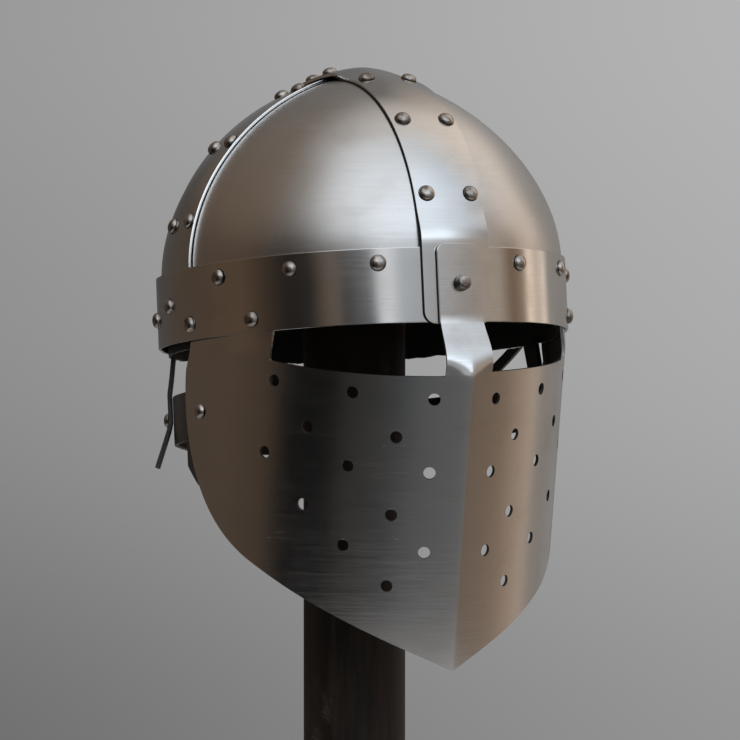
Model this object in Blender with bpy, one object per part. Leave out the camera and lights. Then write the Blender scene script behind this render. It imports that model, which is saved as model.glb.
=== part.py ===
"""Riveted segmented helmet with a perforated face plate, on a post stand.

Four skull plates are riveted under two crossed bands and a brow band. A keeled
face plate with breath holes hangs below the brow band, and its nasal strip
rises over the front band to a stud. A leather lining shows under the brow
band, with a leather neck strap, three hangers and two chin straps.

Units are metres, +Z is up, the face looks along -Y and the wearer's left is
+X. The origin is under the post, on the surface that the stand rests on. The
helmet is modelled upright in its own frame, whose origin is the middle of the
brow band's lower edge, and an empty tilts it back on the post.
"""

import math

import bmesh
import bpy
import numpy as np
from mathutils import Matrix, Vector

# Sheet and fits
SHEET = 0.0016
LEATHER = 0.0022
SEAT_GAP = 0.0003
LAP = SHEET + SEAT_GAP
CROSSING_LAP = SHEET + 3 * SEAT_GAP
PLATE_SEAM = 0.0006

# Skull: level sections are superellipses that shrink towards the crown
SKULL_WIDTH = 0.2042
SKULL_LENGTH = 0.2390
SKULL_HEIGHT = 0.1412
CROWN_SHIFT = 0.0127
CROWN_OPENING = 0.06
SECTION_POWER = 2.1
SIDE_RISE = 1.885
SIDE_TURN = 1.60
FRONT_RISE = 1.95
FRONT_TURN = 2.53

# Bands
BROW_HEIGHT = 0.0375
BAND_WIDTH = 0.0364
BAND_CORNER = 0.006
SKULL_FOOT = 0.016
FRONT_BAND_FOOT = -0.001
BAND_STEP = 0.010
BAND_FLANK = math.radians(14)
BAND_EASE = math.radians(13)

# Face plate: its flat pattern is measured round the section from the keel and
# down the sheet, which leans back by PLATE_LEAN
PLATE_LEAN = math.radians(15.3)
PLATE_HALF_WIDTH = 0.1035
PLATE_REACH = 0.138
PLATE_SIDE_FRONT = 0.0126
CHIN_DROP = 0.1415
EDGE_RISE = 0.38
CHEEK_RADIUS = 0.093
SLOT_DROP_KEEL = -0.0086
SLOT_DROP_END = -0.0055
SLOT_BOW = 0.0014
SLOT_SKEW = 0.0016
SLOT_HALF_SPAN = 0.1065
LOBE_TOP = 0.014
CONFORM_DROP = 0.016
COLUMN_STEP = 0.0095

# Nasal strip and stud
NASAL_WIDTH = 0.0233
NASAL_FOOT_WIDTH = 0.0274
NASAL_TOP = 0.0385
NASAL_CORNER = 0.004
NASAL_STAND_OFF = 3 * LAP + 0.0012
STUD_DIAMETER = 0.0078
STUD_LENGTH = 0.0050
STUD_HEIGHT = 0.0187

# Breath holes
HOLE_DIAMETER = 0.0061
HOLE_SIDES = 12

# Rivets
RIVET_DIAMETER = 0.0080
RIVET_HEAD = 0.0028
RIVET_SIDES = 10
RIVET_PAIR = 0.0240

# Leather
LINER_TOP = 0.036
LINER_DROP = 0.0032
LINER_RISE_START = 0.30
LINER_RISE_END = 0.65
NECK_STRAP_WIDTH = 0.0256
NECK_STRAP_HEIGHT = -0.0372
NECK_STRAP_HALF_WIDTH = 0.0984
NECK_STRAP_REACH = 0.117
NECK_STRAP_START = -0.024
NECK_STRAP_SAG = 0.0048
STRAP_MIDDLE = (0.0, NECK_STRAP_REACH / 3, NECK_STRAP_HEIGHT)
HANGER_WIDTH = 0.014
HANGER_ANGLE = math.radians(26)
HANGER_BACK_ANGLE = math.radians(90)
HANGER_SLANT_START = math.radians(6)
HANGER_SLANT_END = math.radians(34)
HANGER_TAIL = 0.022
TAIL_SPLAY = 0.0080
CHIN_STRAP_WIDTH = 0.018
CHIN_STRAP_FRONT = -0.0005
CHIN_STRAP_FRONT_LEFT = -0.020
CHIN_STRAP_LEAN_LEFT = 0.34
CHIN_STRAP_END = -0.074
CHIN_STRAP_POINT = 0.011

# Stand
HELMET_HEIGHT = 0.300
POST_BEHIND = 0.011
HELMET_PITCH = math.radians(6.2)
POST_DIAMETER = 0.0545
POST_WALL = 0.003
BASE_DIAMETER = 0.260
BASE_THICKNESS = 0.008
BASE_EDGE = 0.0015
WELD = 0.004
CAP_RIM = 0.006
CAP_PLUG = 0.012
ROUND_SIDES = 32

# Half of the face plate's level section, as shares of PLATE_HALF_WIDTH and PLATE_REACH
PLATE_SECTION = (
    {"side": 0.000, "forward": 1.000},
    {"side": 0.162, "forward": 0.949},
    {"side": 0.315, "forward": 0.895},
    {"side": 0.503, "forward": 0.801},
    {"side": 0.663, "forward": 0.688},
    {"side": 0.783, "forward": 0.558},
    {"side": 0.860, "forward": 0.449},
    {"side": 0.937, "forward": 0.304},
    {"side": 0.985, "forward": 0.159},
    {"side": 1.000, "forward": 0.080},
)

# Breath holes: each row's place down the plate, as a share of CHIN_DROP, and the
# places of its holes round the plate, as shares of SLOT_HALF_SPAN
HOLE_ROWS = (
    {"down": 0.030, "round": (0.171, 0.555, 0.965)},
    {"down": 0.173, "round": (0.335, 0.768)},
    {"down": 0.292, "round": (0.171, 0.555, 0.998)},
    {"down": 0.452, "round": (0.335, 0.768)},
    {"down": 0.578, "round": (0.171, 0.555)},
    {"down": 0.708, "round": (0.335,)},
)

# Rivet pairs on the bands: how far up the skull each pair sits, as a share of its rise
FRONT_BAND_PAIRS = {"low": 0.258, "middle": 0.647, "high": 0.914}
SIDE_BAND_PAIRS = {"low": 0.239, "middle": 0.640, "high": 0.919}

# A rivet head's and the stud's profiles, as shares of their radius and height
RIVET_PROFILE = (
    {"radius": 1.00, "height": 0.00},
    {"radius": 0.95, "height": 0.38},
    {"radius": 0.62, "height": 0.85},
    {"radius": 0.22, "height": 1.00},
)
STUD_PROFILE = (
    {"radius": 1.00, "height": 0.00},
    {"radius": 1.00, "height": 0.72},
    {"radius": 0.72, "height": 1.00},
)

# Rivets on each side of the brow band: angle forward of the side, share of the band's height
BROW_RIVETS = (
    {"name": "front", "angle": 69.2, "up": 0.80},
    {"name": "corner", "angle": 44.7, "up": 0.80},
    {"name": "temple", "angle": 21.4, "up": 0.80},
    {"name": "cheek", "angle": 32.3, "up": 0.18},
    {"name": "ear_front", "angle": 9.0, "up": 0.22},
    {"name": "ear_top", "angle": -2.1, "up": 0.53},
    {"name": "ear_rear", "angle": -15.0, "up": 0.40},
)

# Colour, roughness and metallic value of each material
FINISHES = {
    "brushed_steel": {"colour": (0.52, 0.52, 0.53), "roughness": 0.32, "metallic": 1.0},
    "band_steel": {"colour": (0.46, 0.46, 0.47), "roughness": 0.35, "metallic": 1.0},
    "rivet_steel": {"colour": (0.30, 0.29, 0.28), "roughness": 0.30, "metallic": 1.0},
    "black_leather": {"colour": (0.020, 0.019, 0.018), "roughness": 0.60, "metallic": 0.0},
    "rusty_steel": {"colour": (0.070, 0.045, 0.032), "roughness": 0.65, "metallic": 0.6},
}


def clear_scene():
    """Remove whatever objects the scene already holds."""
    for obj in list(bpy.data.objects):
        bpy.data.objects.remove(obj, do_unlink=True)


def make_material(name, finish):
    """A Principled material with one of the finishes."""
    values = FINISHES[finish]
    material = bpy.data.materials.new(name)
    material.use_nodes = True
    shader = material.node_tree.nodes["Principled BSDF"]
    shader.inputs["Base Color"].default_value = (*values["colour"], 1.0)
    shader.inputs["Roughness"].default_value = values["roughness"]
    shader.inputs["Metallic"].default_value = values["metallic"]
    return material


def make_object(name, bm, finish, parent, smooth=True):
    """Link a mesh as a named object with its own material."""
    mesh = bpy.data.meshes.new(name)
    bm.to_mesh(mesh)
    bm.free()
    if smooth:
        mesh.shade_smooth()
        mesh.set_sharp_from_angle(angle=math.radians(35))
    obj = bpy.data.objects.new(name, mesh)
    obj.data.materials.append(make_material(name, finish))
    obj.parent = parent
    bpy.context.scene.collection.objects.link(obj)
    return obj


def smoothstep(value, low, high):
    """Ease from 0 at low to 1 at high."""
    share = min(max((value - low) / (high - low), 0.0), 1.0)
    return share * share * (3.0 - 2.0 * share)


def signed_power(value, power):
    """A power that keeps the sign of its base."""
    return math.copysign(abs(value) ** power, value)


def skull_section(height, stand_off):
    """Half width, half length and centre of a level section, outside by stand_off."""
    top = SKULL_HEIGHT + stand_off
    climb = min(max((height - BROW_HEIGHT) / (top - BROW_HEIGHT), 0.0), 1.0)
    half_width = (SKULL_WIDTH / 2 + stand_off) * (1 - climb**SIDE_RISE) ** (1 / SIDE_TURN)
    half_length = (SKULL_LENGTH / 2 + stand_off) * (1 - climb**FRONT_RISE) ** (1 / FRONT_TURN)
    return half_width, half_length, CROWN_SHIFT * climb**2


def skull_measure(point, stand_off):
    """Below 1 inside the skull's surface, 1 on it and above 1 outside."""
    half_width, half_length, shift = skull_section(point.z, stand_off)
    if half_width < 1e-7 or half_length < 1e-7:
        return 2.0
    across = abs(point.x) / half_width
    along = abs(point.y - shift) / half_length
    return across**SECTION_POWER + along**SECTION_POWER


def skull_hit(start, direction, stand_off):
    """Where a ray from inside leaves the skull's surface."""
    near, far = 0.0, SKULL_LENGTH
    for _ in range(40):
        middle = (near + far) / 2
        if skull_measure(start + direction * middle, stand_off) < 1.0:
            near = middle
        else:
            far = middle
    return start + direction * near


def skull_normal(point, stand_off):
    """Outward direction of the skull's surface at a point."""
    step = 0.0002
    slope = [
        skull_measure(point + axis * step, stand_off) - skull_measure(point - axis * step, stand_off)
        for axis in (Vector((1, 0, 0)), Vector((0, 1, 0)), Vector((0, 0, 1)))
    ]
    return Vector(slope).normalized()


def wall_point(angle, height, stand_off):
    """Point of a level section: angle 0 is the wearer's left, 90 degrees the back."""
    half_width, half_length, shift = skull_section(height, stand_off)
    across = half_width * signed_power(math.cos(angle), 2 / SECTION_POWER)
    along = half_length * signed_power(math.sin(angle), 2 / SECTION_POWER)
    return Vector((across, shift + along, height))


def crown_height(climb):
    """Height of a share of the skull's rise above the brow band."""
    return BROW_HEIGHT + climb * (SKULL_HEIGHT - BROW_HEIGHT)


def add_patch(bm, rows, closed=False):
    """Add a grid of points to a mesh, as quads between neighbouring rows."""
    grid = [[bm.verts.new(point) for point in row] for row in rows]
    pairs = list(zip(grid, grid[1:]))
    if closed:
        pairs.append((grid[-1], grid[0]))
    for row, following in pairs:
        for index in range(len(row) - 1):
            bm.faces.new((row[index], following[index], following[index + 1], row[index + 1]))


def face_outwards(bm, inside):
    """Turn a sheet's faces away from a point inside it."""
    bmesh.ops.recalc_face_normals(bm, faces=bm.faces)
    lean = sum((face.calc_center_median() - inside).dot(face.normal) * face.calc_area() for face in bm.faces)
    if lean < 0:
        bmesh.ops.reverse_faces(bm, faces=bm.faces)


def make_sheet(name, patches, thickness, finish, parent, closed=False, inside=(0, 0, 0)):
    """A sheet whose outer face is given by grids of points, thickened inwards."""
    bm = bmesh.new()
    for rows in patches:
        add_patch(bm, rows, closed)
    bmesh.ops.remove_doubles(bm, verts=bm.verts, dist=1e-6)
    face_outwards(bm, Vector(inside))
    obj = make_object(name, bm, finish, parent)
    solidify = obj.modifiers.new("Thickness", "SOLIDIFY")
    solidify.thickness = thickness
    solidify.offset = -1.0
    solidify.use_even_offset = True
    return obj


def brow_stand_off(angle):
    """The brow band steps out over the band ends that it covers."""
    covered = 0.0
    for centre in (0.0, math.pi / 2, math.pi):
        away = abs(math.remainder(angle - centre, math.tau))
        covered = max(covered, 1.0 - smoothstep(away, BAND_FLANK, BAND_FLANK + BAND_EASE))
    return LAP * (1.0 + covered)


def front_band_stand_off(point):
    """The front band lies over the brow band and, at the crown, over the side band."""
    over_brow = 0.0
    if point.y < 0:
        over_brow = 1.0 - smoothstep(point.z, BROW_HEIGHT + BAND_STEP / 2, BROW_HEIGHT + 2 * BAND_STEP)
    away = abs(point.y - CROWN_SHIFT)
    near_crown = 1.0 if point.z > BROW_HEIGHT + BAND_WIDTH else 0.0
    clear = BAND_WIDTH / 2 + BAND_STEP
    over_side_band = near_crown * (1.0 - smoothstep(away, clear, clear + 2 * BAND_STEP))
    return LAP + max(over_brow * LAP, over_side_band * CROSSING_LAP)


def arch_centres(across_width, foot_start, foot_end):
    """Centre points of a band's arch, from foot to foot over the crown."""
    rise = SKULL_HEIGHT - BROW_HEIGHT
    reach = SKULL_WIDTH / 2 if across_width else SKULL_LENGTH / 2
    steps = math.ceil(math.pi / 2 * (rise + reach) / 2 / BAND_STEP)

    def side_point(height, sign):
        half_width, half_length, shift = skull_section(height, 0.0)
        if across_width:
            return Vector((sign * half_width, shift, height))
        return Vector((0.0, shift + sign * half_length, height))

    dome = [crown_height(math.sin(math.pi / 2 * k / steps)) for k in range(steps)]

    def wall(foot):
        count = math.ceil((BROW_HEIGHT - foot) / (2 * BAND_STEP))
        return [foot + (BROW_HEIGHT - foot) * k / count for k in range(count)]

    rising = [side_point(height, -1) for height in wall(foot_start) + dome]
    falling = [side_point(height, 1) for height in wall(foot_end) + dome]
    crown = Vector((0.0, CROWN_SHIFT, SKULL_HEIGHT))
    return rising + [crown] + falling[::-1]


def band_row(centre, width_axis, shares, half_width, stand_off):
    """One row of points across a band, on the skull's surface."""
    base = Vector((0.0, 0.0, min(centre.z, BROW_HEIGHT)))
    if width_axis.y:
        base.y = centre.y
    direction = (centre - base).normalized()
    return [skull_hit(base + width_axis * (share * half_width), direction, stand_off) for share in shares]


def make_skull_plates(parent):
    """Four quarter plates, which meet under the bands."""
    plates = {
        "skull_plate_front_left": (1, -1),
        "skull_plate_front_right": (-1, -1),
        "skull_plate_back_left": (1, 1),
        "skull_plate_back_right": (-1, 1),
    }
    steps_round, steps_up = 11, 10
    top_turn = math.acos(CROWN_OPENING)
    heights = [SKULL_FOOT] + [crown_height(math.sin(top_turn * k / steps_up)) for k in range(steps_up + 1)]
    for name, (side, end) in plates.items():
        rows = []
        for height in heights:
            half_width, half_length, shift = skull_section(height, 0.0)
            first = math.asin((PLATE_SEAM / 2 / half_length) ** (SECTION_POWER / 2))
            last = math.acos((PLATE_SEAM / 2 / half_width) ** (SECTION_POWER / 2))
            row = []
            for k in range(steps_round + 1):
                point = wall_point(first + (last - first) * k / steps_round, height, 0.0)
                row.append(Vector((side * point.x, shift + end * (point.y - shift), height)))
            rows.append(row)
        make_sheet(name, [rows], SHEET, "brushed_steel", parent)


def make_side_band(parent):
    """Band from ear to ear, with both ends under the brow band."""
    shares = (-1.0, -0.5, 0.0, 0.5, 1.0)
    rows = [
        band_row(centre, Vector((0, 1, 0)), shares, BAND_WIDTH / 2, LAP)
        for centre in arch_centres(True, SKULL_FOOT, SKULL_FOOT)
    ]
    make_sheet("side_band", [rows], SHEET, "band_steel", parent)


def make_front_back_band(parent):
    """Band from the brow band's front edge over the crown to the back."""
    shares = (-1.0, -0.5, 0.0, 0.5, 1.0)
    centres = arch_centres(False, FRONT_BAND_FOOT + BAND_CORNER, SKULL_FOOT)
    rows = [
        band_row(centre, Vector((1, 0, 0)), shares, BAND_WIDTH / 2, front_band_stand_off(centre))
        for centre in centres
    ]
    corner = []
    for k in (0, 1, 2):
        turn = math.pi / 2 * k / 3
        foot = centres[0].copy()
        foot.z = FRONT_BAND_FOOT + BAND_CORNER * (1 - math.cos(turn))
        narrow = BAND_WIDTH / 2 - BAND_CORNER * (1 - math.sin(turn))
        corner.append(band_row(foot, Vector((1, 0, 0)), shares, narrow, 2 * LAP))
    make_sheet("front_back_band", [corner + rows], SHEET, "band_steel", parent)


def make_brow_band(parent):
    """Closed ring round the foot of the skull."""
    count = 72
    rows = []
    for k in range(count):
        angle = math.tau * k / count
        stand_off = brow_stand_off(angle)
        foot = wall_point(angle, 0.0, stand_off)
        rows.append([foot, foot + Vector((0, 0, BROW_HEIGHT))])
    make_sheet("brow_band", [rows], SHEET, "band_steel", parent, closed=True)


def plate_section_curve():
    """The face plate's half section and the distance round it, finely sampled."""
    side = np.array([row["side"] for row in PLATE_SECTION]) * PLATE_HALF_WIDTH
    forward = np.array([row["forward"] for row in PLATE_SECTION]) * PLATE_REACH
    forward[-1] = PLATE_SIDE_FRONT
    along = np.concatenate([[0.0], np.cumsum(np.hypot(np.diff(side), np.diff(forward)))])
    fine = np.linspace(0.0, along[-1], 400)
    smooth = []
    for values in (side, forward):
        slopes = np.gradient(values, along)
        index = np.clip(np.searchsorted(along, fine, side="right") - 1, 0, len(along) - 2)
        span = along[index + 1] - along[index]
        t = (fine - along[index]) / span
        smooth.append(
            (2 * t**3 - 3 * t**2 + 1) * values[index]
            + (t**3 - 2 * t**2 + t) * span * slopes[index]
            + (-2 * t**3 + 3 * t**2) * values[index + 1]
            + (t**3 - t**2) * span * slopes[index + 1]
        )
    round_sheet = np.concatenate([[0.0], np.cumsum(np.hypot(np.diff(smooth[0]), np.diff(smooth[1])))])
    return round_sheet, smooth[0], smooth[1]


ROUND_SHEET, SECTION_SIDE, SECTION_FORWARD = plate_section_curve()
PLATE_HALF_SPAN = float(ROUND_SHEET[-1])


def lean_point(side, forward, down):
    """Point of the face plate's leaning frame in the helmet's frame."""
    sin_lean, cos_lean = math.sin(PLATE_LEAN), math.cos(PLATE_LEAN)
    return Vector((side, down * sin_lean - forward * cos_lean, -down * cos_lean - forward * sin_lean))


def plate_point(around, down):
    """Outer face of the plate; above the brow edge it follows the skull plates."""
    side = math.copysign(float(np.interp(abs(around), ROUND_SHEET, SECTION_SIDE)), around)
    forward = float(np.interp(abs(around), ROUND_SHEET, SECTION_FORWARD))
    point = lean_point(side, forward, down)
    if abs(around) > SLOT_HALF_SPAN - COLUMN_STEP:
        share = smoothstep(point.z, -CONFORM_DROP, -LINER_DROP)
        shrink = skull_measure(Vector((point.x, point.y, 0.0)), 0.0) ** (1 / SECTION_POWER)
        scale = 1.0 + share * (1.0 / shrink - 1.0)
        point.x *= scale
        point.y *= scale
    return point


def plate_side_at(y, z):
    """How far out the plate's outer face is at a place in the helmet's side view."""
    forward = -y * math.cos(PLATE_LEAN) - z * math.sin(PLATE_LEAN)
    return float(np.interp(-forward, -SECTION_FORWARD, SECTION_SIDE))


def lobe_drop(around, height):
    """How far down the sheet a height of the helmet lies."""
    forward = float(np.interp(abs(around), ROUND_SHEET, SECTION_FORWARD))
    return -(height + forward * math.sin(PLATE_LEAN)) / math.cos(PLATE_LEAN)


def slot_drop(around):
    """Eye slot's lower edge, down the sheet: it bows on the wearer's right, and is higher on the left."""
    share = min(abs(around) / SLOT_HALF_SPAN, 1.0)
    drop = SLOT_DROP_KEEL + (SLOT_DROP_END - SLOT_DROP_KEEL) * share
    if around < 0:
        return drop + 4 * SLOT_BOW * share * (1 - share)
    past_nasal = min(2 * around / NASAL_FOOT_WIDTH, 1.0)
    return drop - SLOT_SKEW * past_nasal * (1 - share)


def cheek_arc():
    """Centre of the rounded cheek corner and where its arc starts."""
    tilt = math.atan(EDGE_RISE)
    centre_round = PLATE_HALF_SPAN - CHEEK_RADIUS
    edge_drop = CHIN_DROP - EDGE_RISE * centre_round
    centre_down = edge_drop - CHEEK_RADIUS / math.cos(tilt)
    return centre_round, centre_down, tilt


def lower_edge(around):
    """Face plate's lower edge: straight from the chin, then an arc up to the rear edge."""
    centre_round, centre_down, tilt = cheek_arc()
    away = abs(around)
    if away < centre_round + CHEEK_RADIUS * math.sin(tilt):
        return CHIN_DROP - EDGE_RISE * away
    reach = min(away - centre_round, CHEEK_RADIUS)
    return centre_down + math.sqrt(CHEEK_RADIUS**2 - reach**2)


def plate_columns():
    """Places of the plate's columns round the sheet, on one side of the keel."""
    centre_round, _, tilt = cheek_arc()
    nasal = NASAL_FOOT_WIDTH / 2
    columns = [0.0, nasal / 2, nasal]
    count = round((SLOT_HALF_SPAN - nasal) / COLUMN_STEP)
    columns += [nasal + (SLOT_HALF_SPAN - nasal) * (k + 1) / count for k in range(count)]
    start = math.asin((SLOT_HALF_SPAN - centre_round) / CHEEK_RADIUS)
    count = round((PLATE_HALF_SPAN - SLOT_HALF_SPAN) / (COLUMN_STEP * 0.9))
    turns = [start + (math.pi / 2 - start) * (k + 1) / count for k in range(count)]
    return columns + [centre_round + CHEEK_RADIUS * math.sin(turn) for turn in turns]


def nasal_rows(nasal_columns):
    """The nasal strip, from the eye slot's edge up over the front band."""
    shares = [column / (NASAL_FOOT_WIDTH / 2) for column in nasal_columns]

    def upper_row(height, half_width):
        row = []
        for share in shares:
            across = share * half_width
            half_wide, half_long, shift = skull_section(height, NASAL_STAND_OFF)
            depth = half_long * (1 - (abs(across) / half_wide) ** SECTION_POWER) ** (1 / SECTION_POWER)
            row.append(Vector((across, shift - depth, height)))
        return row

    foot = [plate_point(column, slot_drop(column)) for column in nasal_columns]
    bend = upper_row(0.0, NASAL_WIDTH / 2)
    rows = [foot]
    for share in (0.34, 0.67):
        rows.append([low.lerp(high, share) for low, high in zip(foot, bend)])
    heights = (0.0, NASAL_TOP / 12, NASAL_TOP / 2, NASAL_TOP - NASAL_CORNER)
    rows += [upper_row(height, NASAL_WIDTH / 2) for height in heights]
    for turn in (math.radians(30), math.radians(60), math.radians(85)):
        height = NASAL_TOP - NASAL_CORNER * (1 - math.sin(turn))
        rows.append(upper_row(height, NASAL_WIDTH / 2 - NASAL_CORNER * (1 - math.cos(turn))))
    return rows


def make_face_plate(parent):
    """Keeled plate with breath holes, its nasal strip and its two side lobes."""
    half = plate_columns()
    columns = [-column for column in half[:0:-1]] + half
    body = []
    for column in columns:
        top, bottom = slot_drop(column), lower_edge(column)
        upper = min(top + CONFORM_DROP / 2, (top + bottom) / 2)
        body.append([plate_point(column, down) for down in (bottom, (bottom + upper) / 2, upper, top)])
    patches = [body]
    for sign in (-1, 1):
        lobe = []
        for column in (sign * value for value in half if value >= SLOT_HALF_SPAN - 1e-6):
            low = slot_drop(column)
            middle = lobe_drop(column, -LINER_DROP)
            high = lobe_drop(column, LOBE_TOP)
            downs = sorted((low, min(middle, low - 0.001), high), reverse=True)
            lobe.append([plate_point(column, down) for down in downs])
        patches.append(lobe)
    middle = [column for column in columns if abs(column) <= NASAL_FOOT_WIDTH / 2 + 1e-6]
    patches.append(nasal_rows(middle))
    plate = make_sheet("face_plate", patches, SHEET, "brushed_steel", parent, inside=(0, 0, -0.06))
    cutter = make_hole_cutter(parent)
    holes = plate.modifiers.new("Breath holes", "BOOLEAN")
    holes.object = cutter
    holes.operation = "DIFFERENCE"
    holes.solver = "EXACT"
    return plate


def make_hole_cutter(parent):
    """One mesh of pins, square to the plate at each breath hole."""
    bm = bmesh.new()
    step = 0.002
    for row in HOLE_ROWS:
        down = row["down"] * CHIN_DROP
        for share in row["round"]:
            for sign in (-1, 1):
                around = sign * share * SLOT_HALF_SPAN
                centre = plate_point(around, down)
                along = plate_point(around + step, down) - plate_point(around - step, down)
                fall = plate_point(around, down + step) - plate_point(around, down - step)
                normal = along.cross(fall).normalized()
                turn = normal.to_track_quat("Z", "Y").to_matrix().to_4x4()
                bmesh.ops.create_cone(
                    bm,
                    cap_ends=True,
                    segments=HOLE_SIDES,
                    radius1=HOLE_DIAMETER / 2,
                    radius2=HOLE_DIAMETER / 2,
                    depth=8 * SHEET,
                    matrix=Matrix.Translation(centre) @ turn,
                )
    cutter = make_object("breath_hole_cutter", bm, "brushed_steel", parent, smooth=False)
    cutter.hide_render = True
    cutter.display_type = "WIRE"
    return cutter


def make_head(name, seat, normal, profile, radius, height, parent):
    """A turned head that stands on a seat."""
    sides = RIVET_SIDES
    bm = bmesh.new()
    rings = []
    for row in profile:
        rings.append([
            bm.verts.new((
                radius * row["radius"] * math.cos(math.tau * k / sides),
                radius * row["radius"] * math.sin(math.tau * k / sides),
                height * row["height"],
            ))
            for k in range(sides)
        ])
    for lower, upper in zip(rings, rings[1:]):
        for k in range(sides):
            after = (k + 1) % sides
            bm.faces.new((lower[k], lower[after], upper[after], upper[k]))
    bm.faces.new(rings[0][::-1])
    bm.faces.new(rings[-1])
    turn = normal.to_track_quat("Z", "Y").to_matrix().to_4x4()
    bmesh.ops.transform(bm, matrix=Matrix.Translation(seat) @ turn, verts=bm.verts)
    return make_object(name, bm, "rivet_steel", parent)


def make_rivet(name, seat, normal, parent):
    """A domed rivet head with its foot just clear of the sheet under it."""
    foot = seat + normal * SEAT_GAP
    make_head(name, foot, normal, RIVET_PROFILE, RIVET_DIAMETER / 2, RIVET_HEAD, parent)


def make_band_rivets(parent):
    """Rivet pairs along both bands, and four at the crossing."""
    half_pair = RIVET_PAIR / 2
    for name, climb in FRONT_BAND_PAIRS.items():
        for end, sign in (("front", -1), ("back", 1)):
            height = crown_height(climb)
            _, half_length, shift = skull_section(height, 0.0)
            centre = Vector((0.0, shift + sign * half_length, height))
            stand_off = front_band_stand_off(centre)
            seats = band_row(centre, Vector((1, 0, 0)), (-1, 1), half_pair, stand_off)
            for side, seat in zip(("right", "left"), seats):
                label = f"band_rivet_{end}_{name}_{side}"
                make_rivet(label, seat, skull_normal(seat, stand_off), parent)
    for name, climb in SIDE_BAND_PAIRS.items():
        for side, sign in (("right", -1), ("left", 1)):
            height = crown_height(climb)
            half_width, _, shift = skull_section(height, 0.0)
            centre = Vector((sign * half_width, shift, height))
            seats = band_row(centre, Vector((0, 1, 0)), (-1, 1), half_pair, LAP)
            for end, seat in zip(("front", "rear"), seats):
                label = f"side_rivet_{side}_{name}_{end}"
                make_rivet(label, seat, skull_normal(seat, LAP), parent)
    for side, across in (("right", -1), ("left", 1)):
        for end, along in (("front", -1), ("rear", 1)):
            base = Vector((across * half_pair, CROWN_SHIFT + along * half_pair, BROW_HEIGHT))
            stand_off = LAP + CROSSING_LAP
            seat = skull_hit(base, Vector((0, 0, 1)), stand_off)
            make_rivet(f"crown_rivet_{end}_{side}", seat, skull_normal(seat, stand_off), parent)


def make_brow_rivets(parent):
    """Rivets along the front and the sides of the brow band."""
    for row in BROW_RIVETS:
        for side, sign in (("right", -1), ("left", 1)):
            forward = math.radians(row["angle"])
            angle = -forward if sign > 0 else math.pi + forward
            stand_off = brow_stand_off(angle)
            seat = wall_point(angle, row["up"] * BROW_HEIGHT, stand_off)
            normal = skull_normal(seat, stand_off)
            make_rivet(f"brow_rivet_{row['name']}_{side}", seat, normal, parent)


def make_stud(parent):
    """Stud with a chamfered end that stands out of the nasal strip."""
    half_long = skull_section(STUD_HEIGHT, NASAL_STAND_OFF)[1]
    seat = Vector((0.0, -half_long - SEAT_GAP, STUD_HEIGHT))
    make_head("nasal_stud", seat, Vector((0, -1, 0)), STUD_PROFILE, STUD_DIAMETER / 2, STUD_LENGTH, parent)


def make_liner(parent):
    """Leather lining band, whose foot rises out of the eye slot's way in front."""
    count = 52
    rows = []
    for k in range(count):
        angle = math.tau * k / count
        frontness = smoothstep(-math.sin(angle), LINER_RISE_START, LINER_RISE_END)
        foot = wall_point(angle, 0.0, -LAP - SEAT_GAP)
        foot.z = -LINER_DROP + frontness * (LINER_DROP + SHEET)
        rows.append([foot, Vector((foot.x, foot.y, LINER_TOP))])
    make_sheet("leather_lining", [rows], LEATHER, "black_leather", parent, closed=True)


def strap_point(angle, height, outwards=0.0):
    """Outer face of the neck strap's oval, kept inside the face plate in front."""
    half_width = NECK_STRAP_HALF_WIDTH + outwards
    half_length = NECK_STRAP_REACH + outwards
    x = half_width * signed_power(math.cos(angle), 2 / SECTION_POWER)
    y = half_length * signed_power(math.sin(angle), 2 / SECTION_POWER)
    if y < PLATE_SIDE_FRONT and outwards <= 0:
        inside = plate_side_at(y, height) - 1.1 * SHEET - SEAT_GAP + outwards
        x = math.copysign(min(abs(x), inside), x)
    return Vector((x, y, height))


def strap_sag(angle):
    """How far the neck strap hangs down towards the back."""
    return NECK_STRAP_SAG * max(math.sin(angle), 0.0) ** 2


def strap_front_angle():
    """Where the neck strap starts, inside the plate's rear edge."""
    share = abs(NECK_STRAP_START) / NECK_STRAP_REACH
    return -math.asin(share ** (SECTION_POWER / 2))


def make_neck_strap(parent):
    """Leather strap from cheek to cheek, round the back."""
    start = strap_front_angle()
    count = 38
    rows = []
    for k in range(count + 1):
        angle = start + (math.pi - 2 * start) * k / count
        middle = NECK_STRAP_HEIGHT - strap_sag(angle)
        heights = [middle + share * NECK_STRAP_WIDTH for share in (-0.5, 0.0, 0.5)]
        rows.append([strap_point(angle, height) for height in heights])
    make_sheet("neck_strap", [rows], LEATHER, "black_leather", parent, inside=STRAP_MIDDLE)


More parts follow.
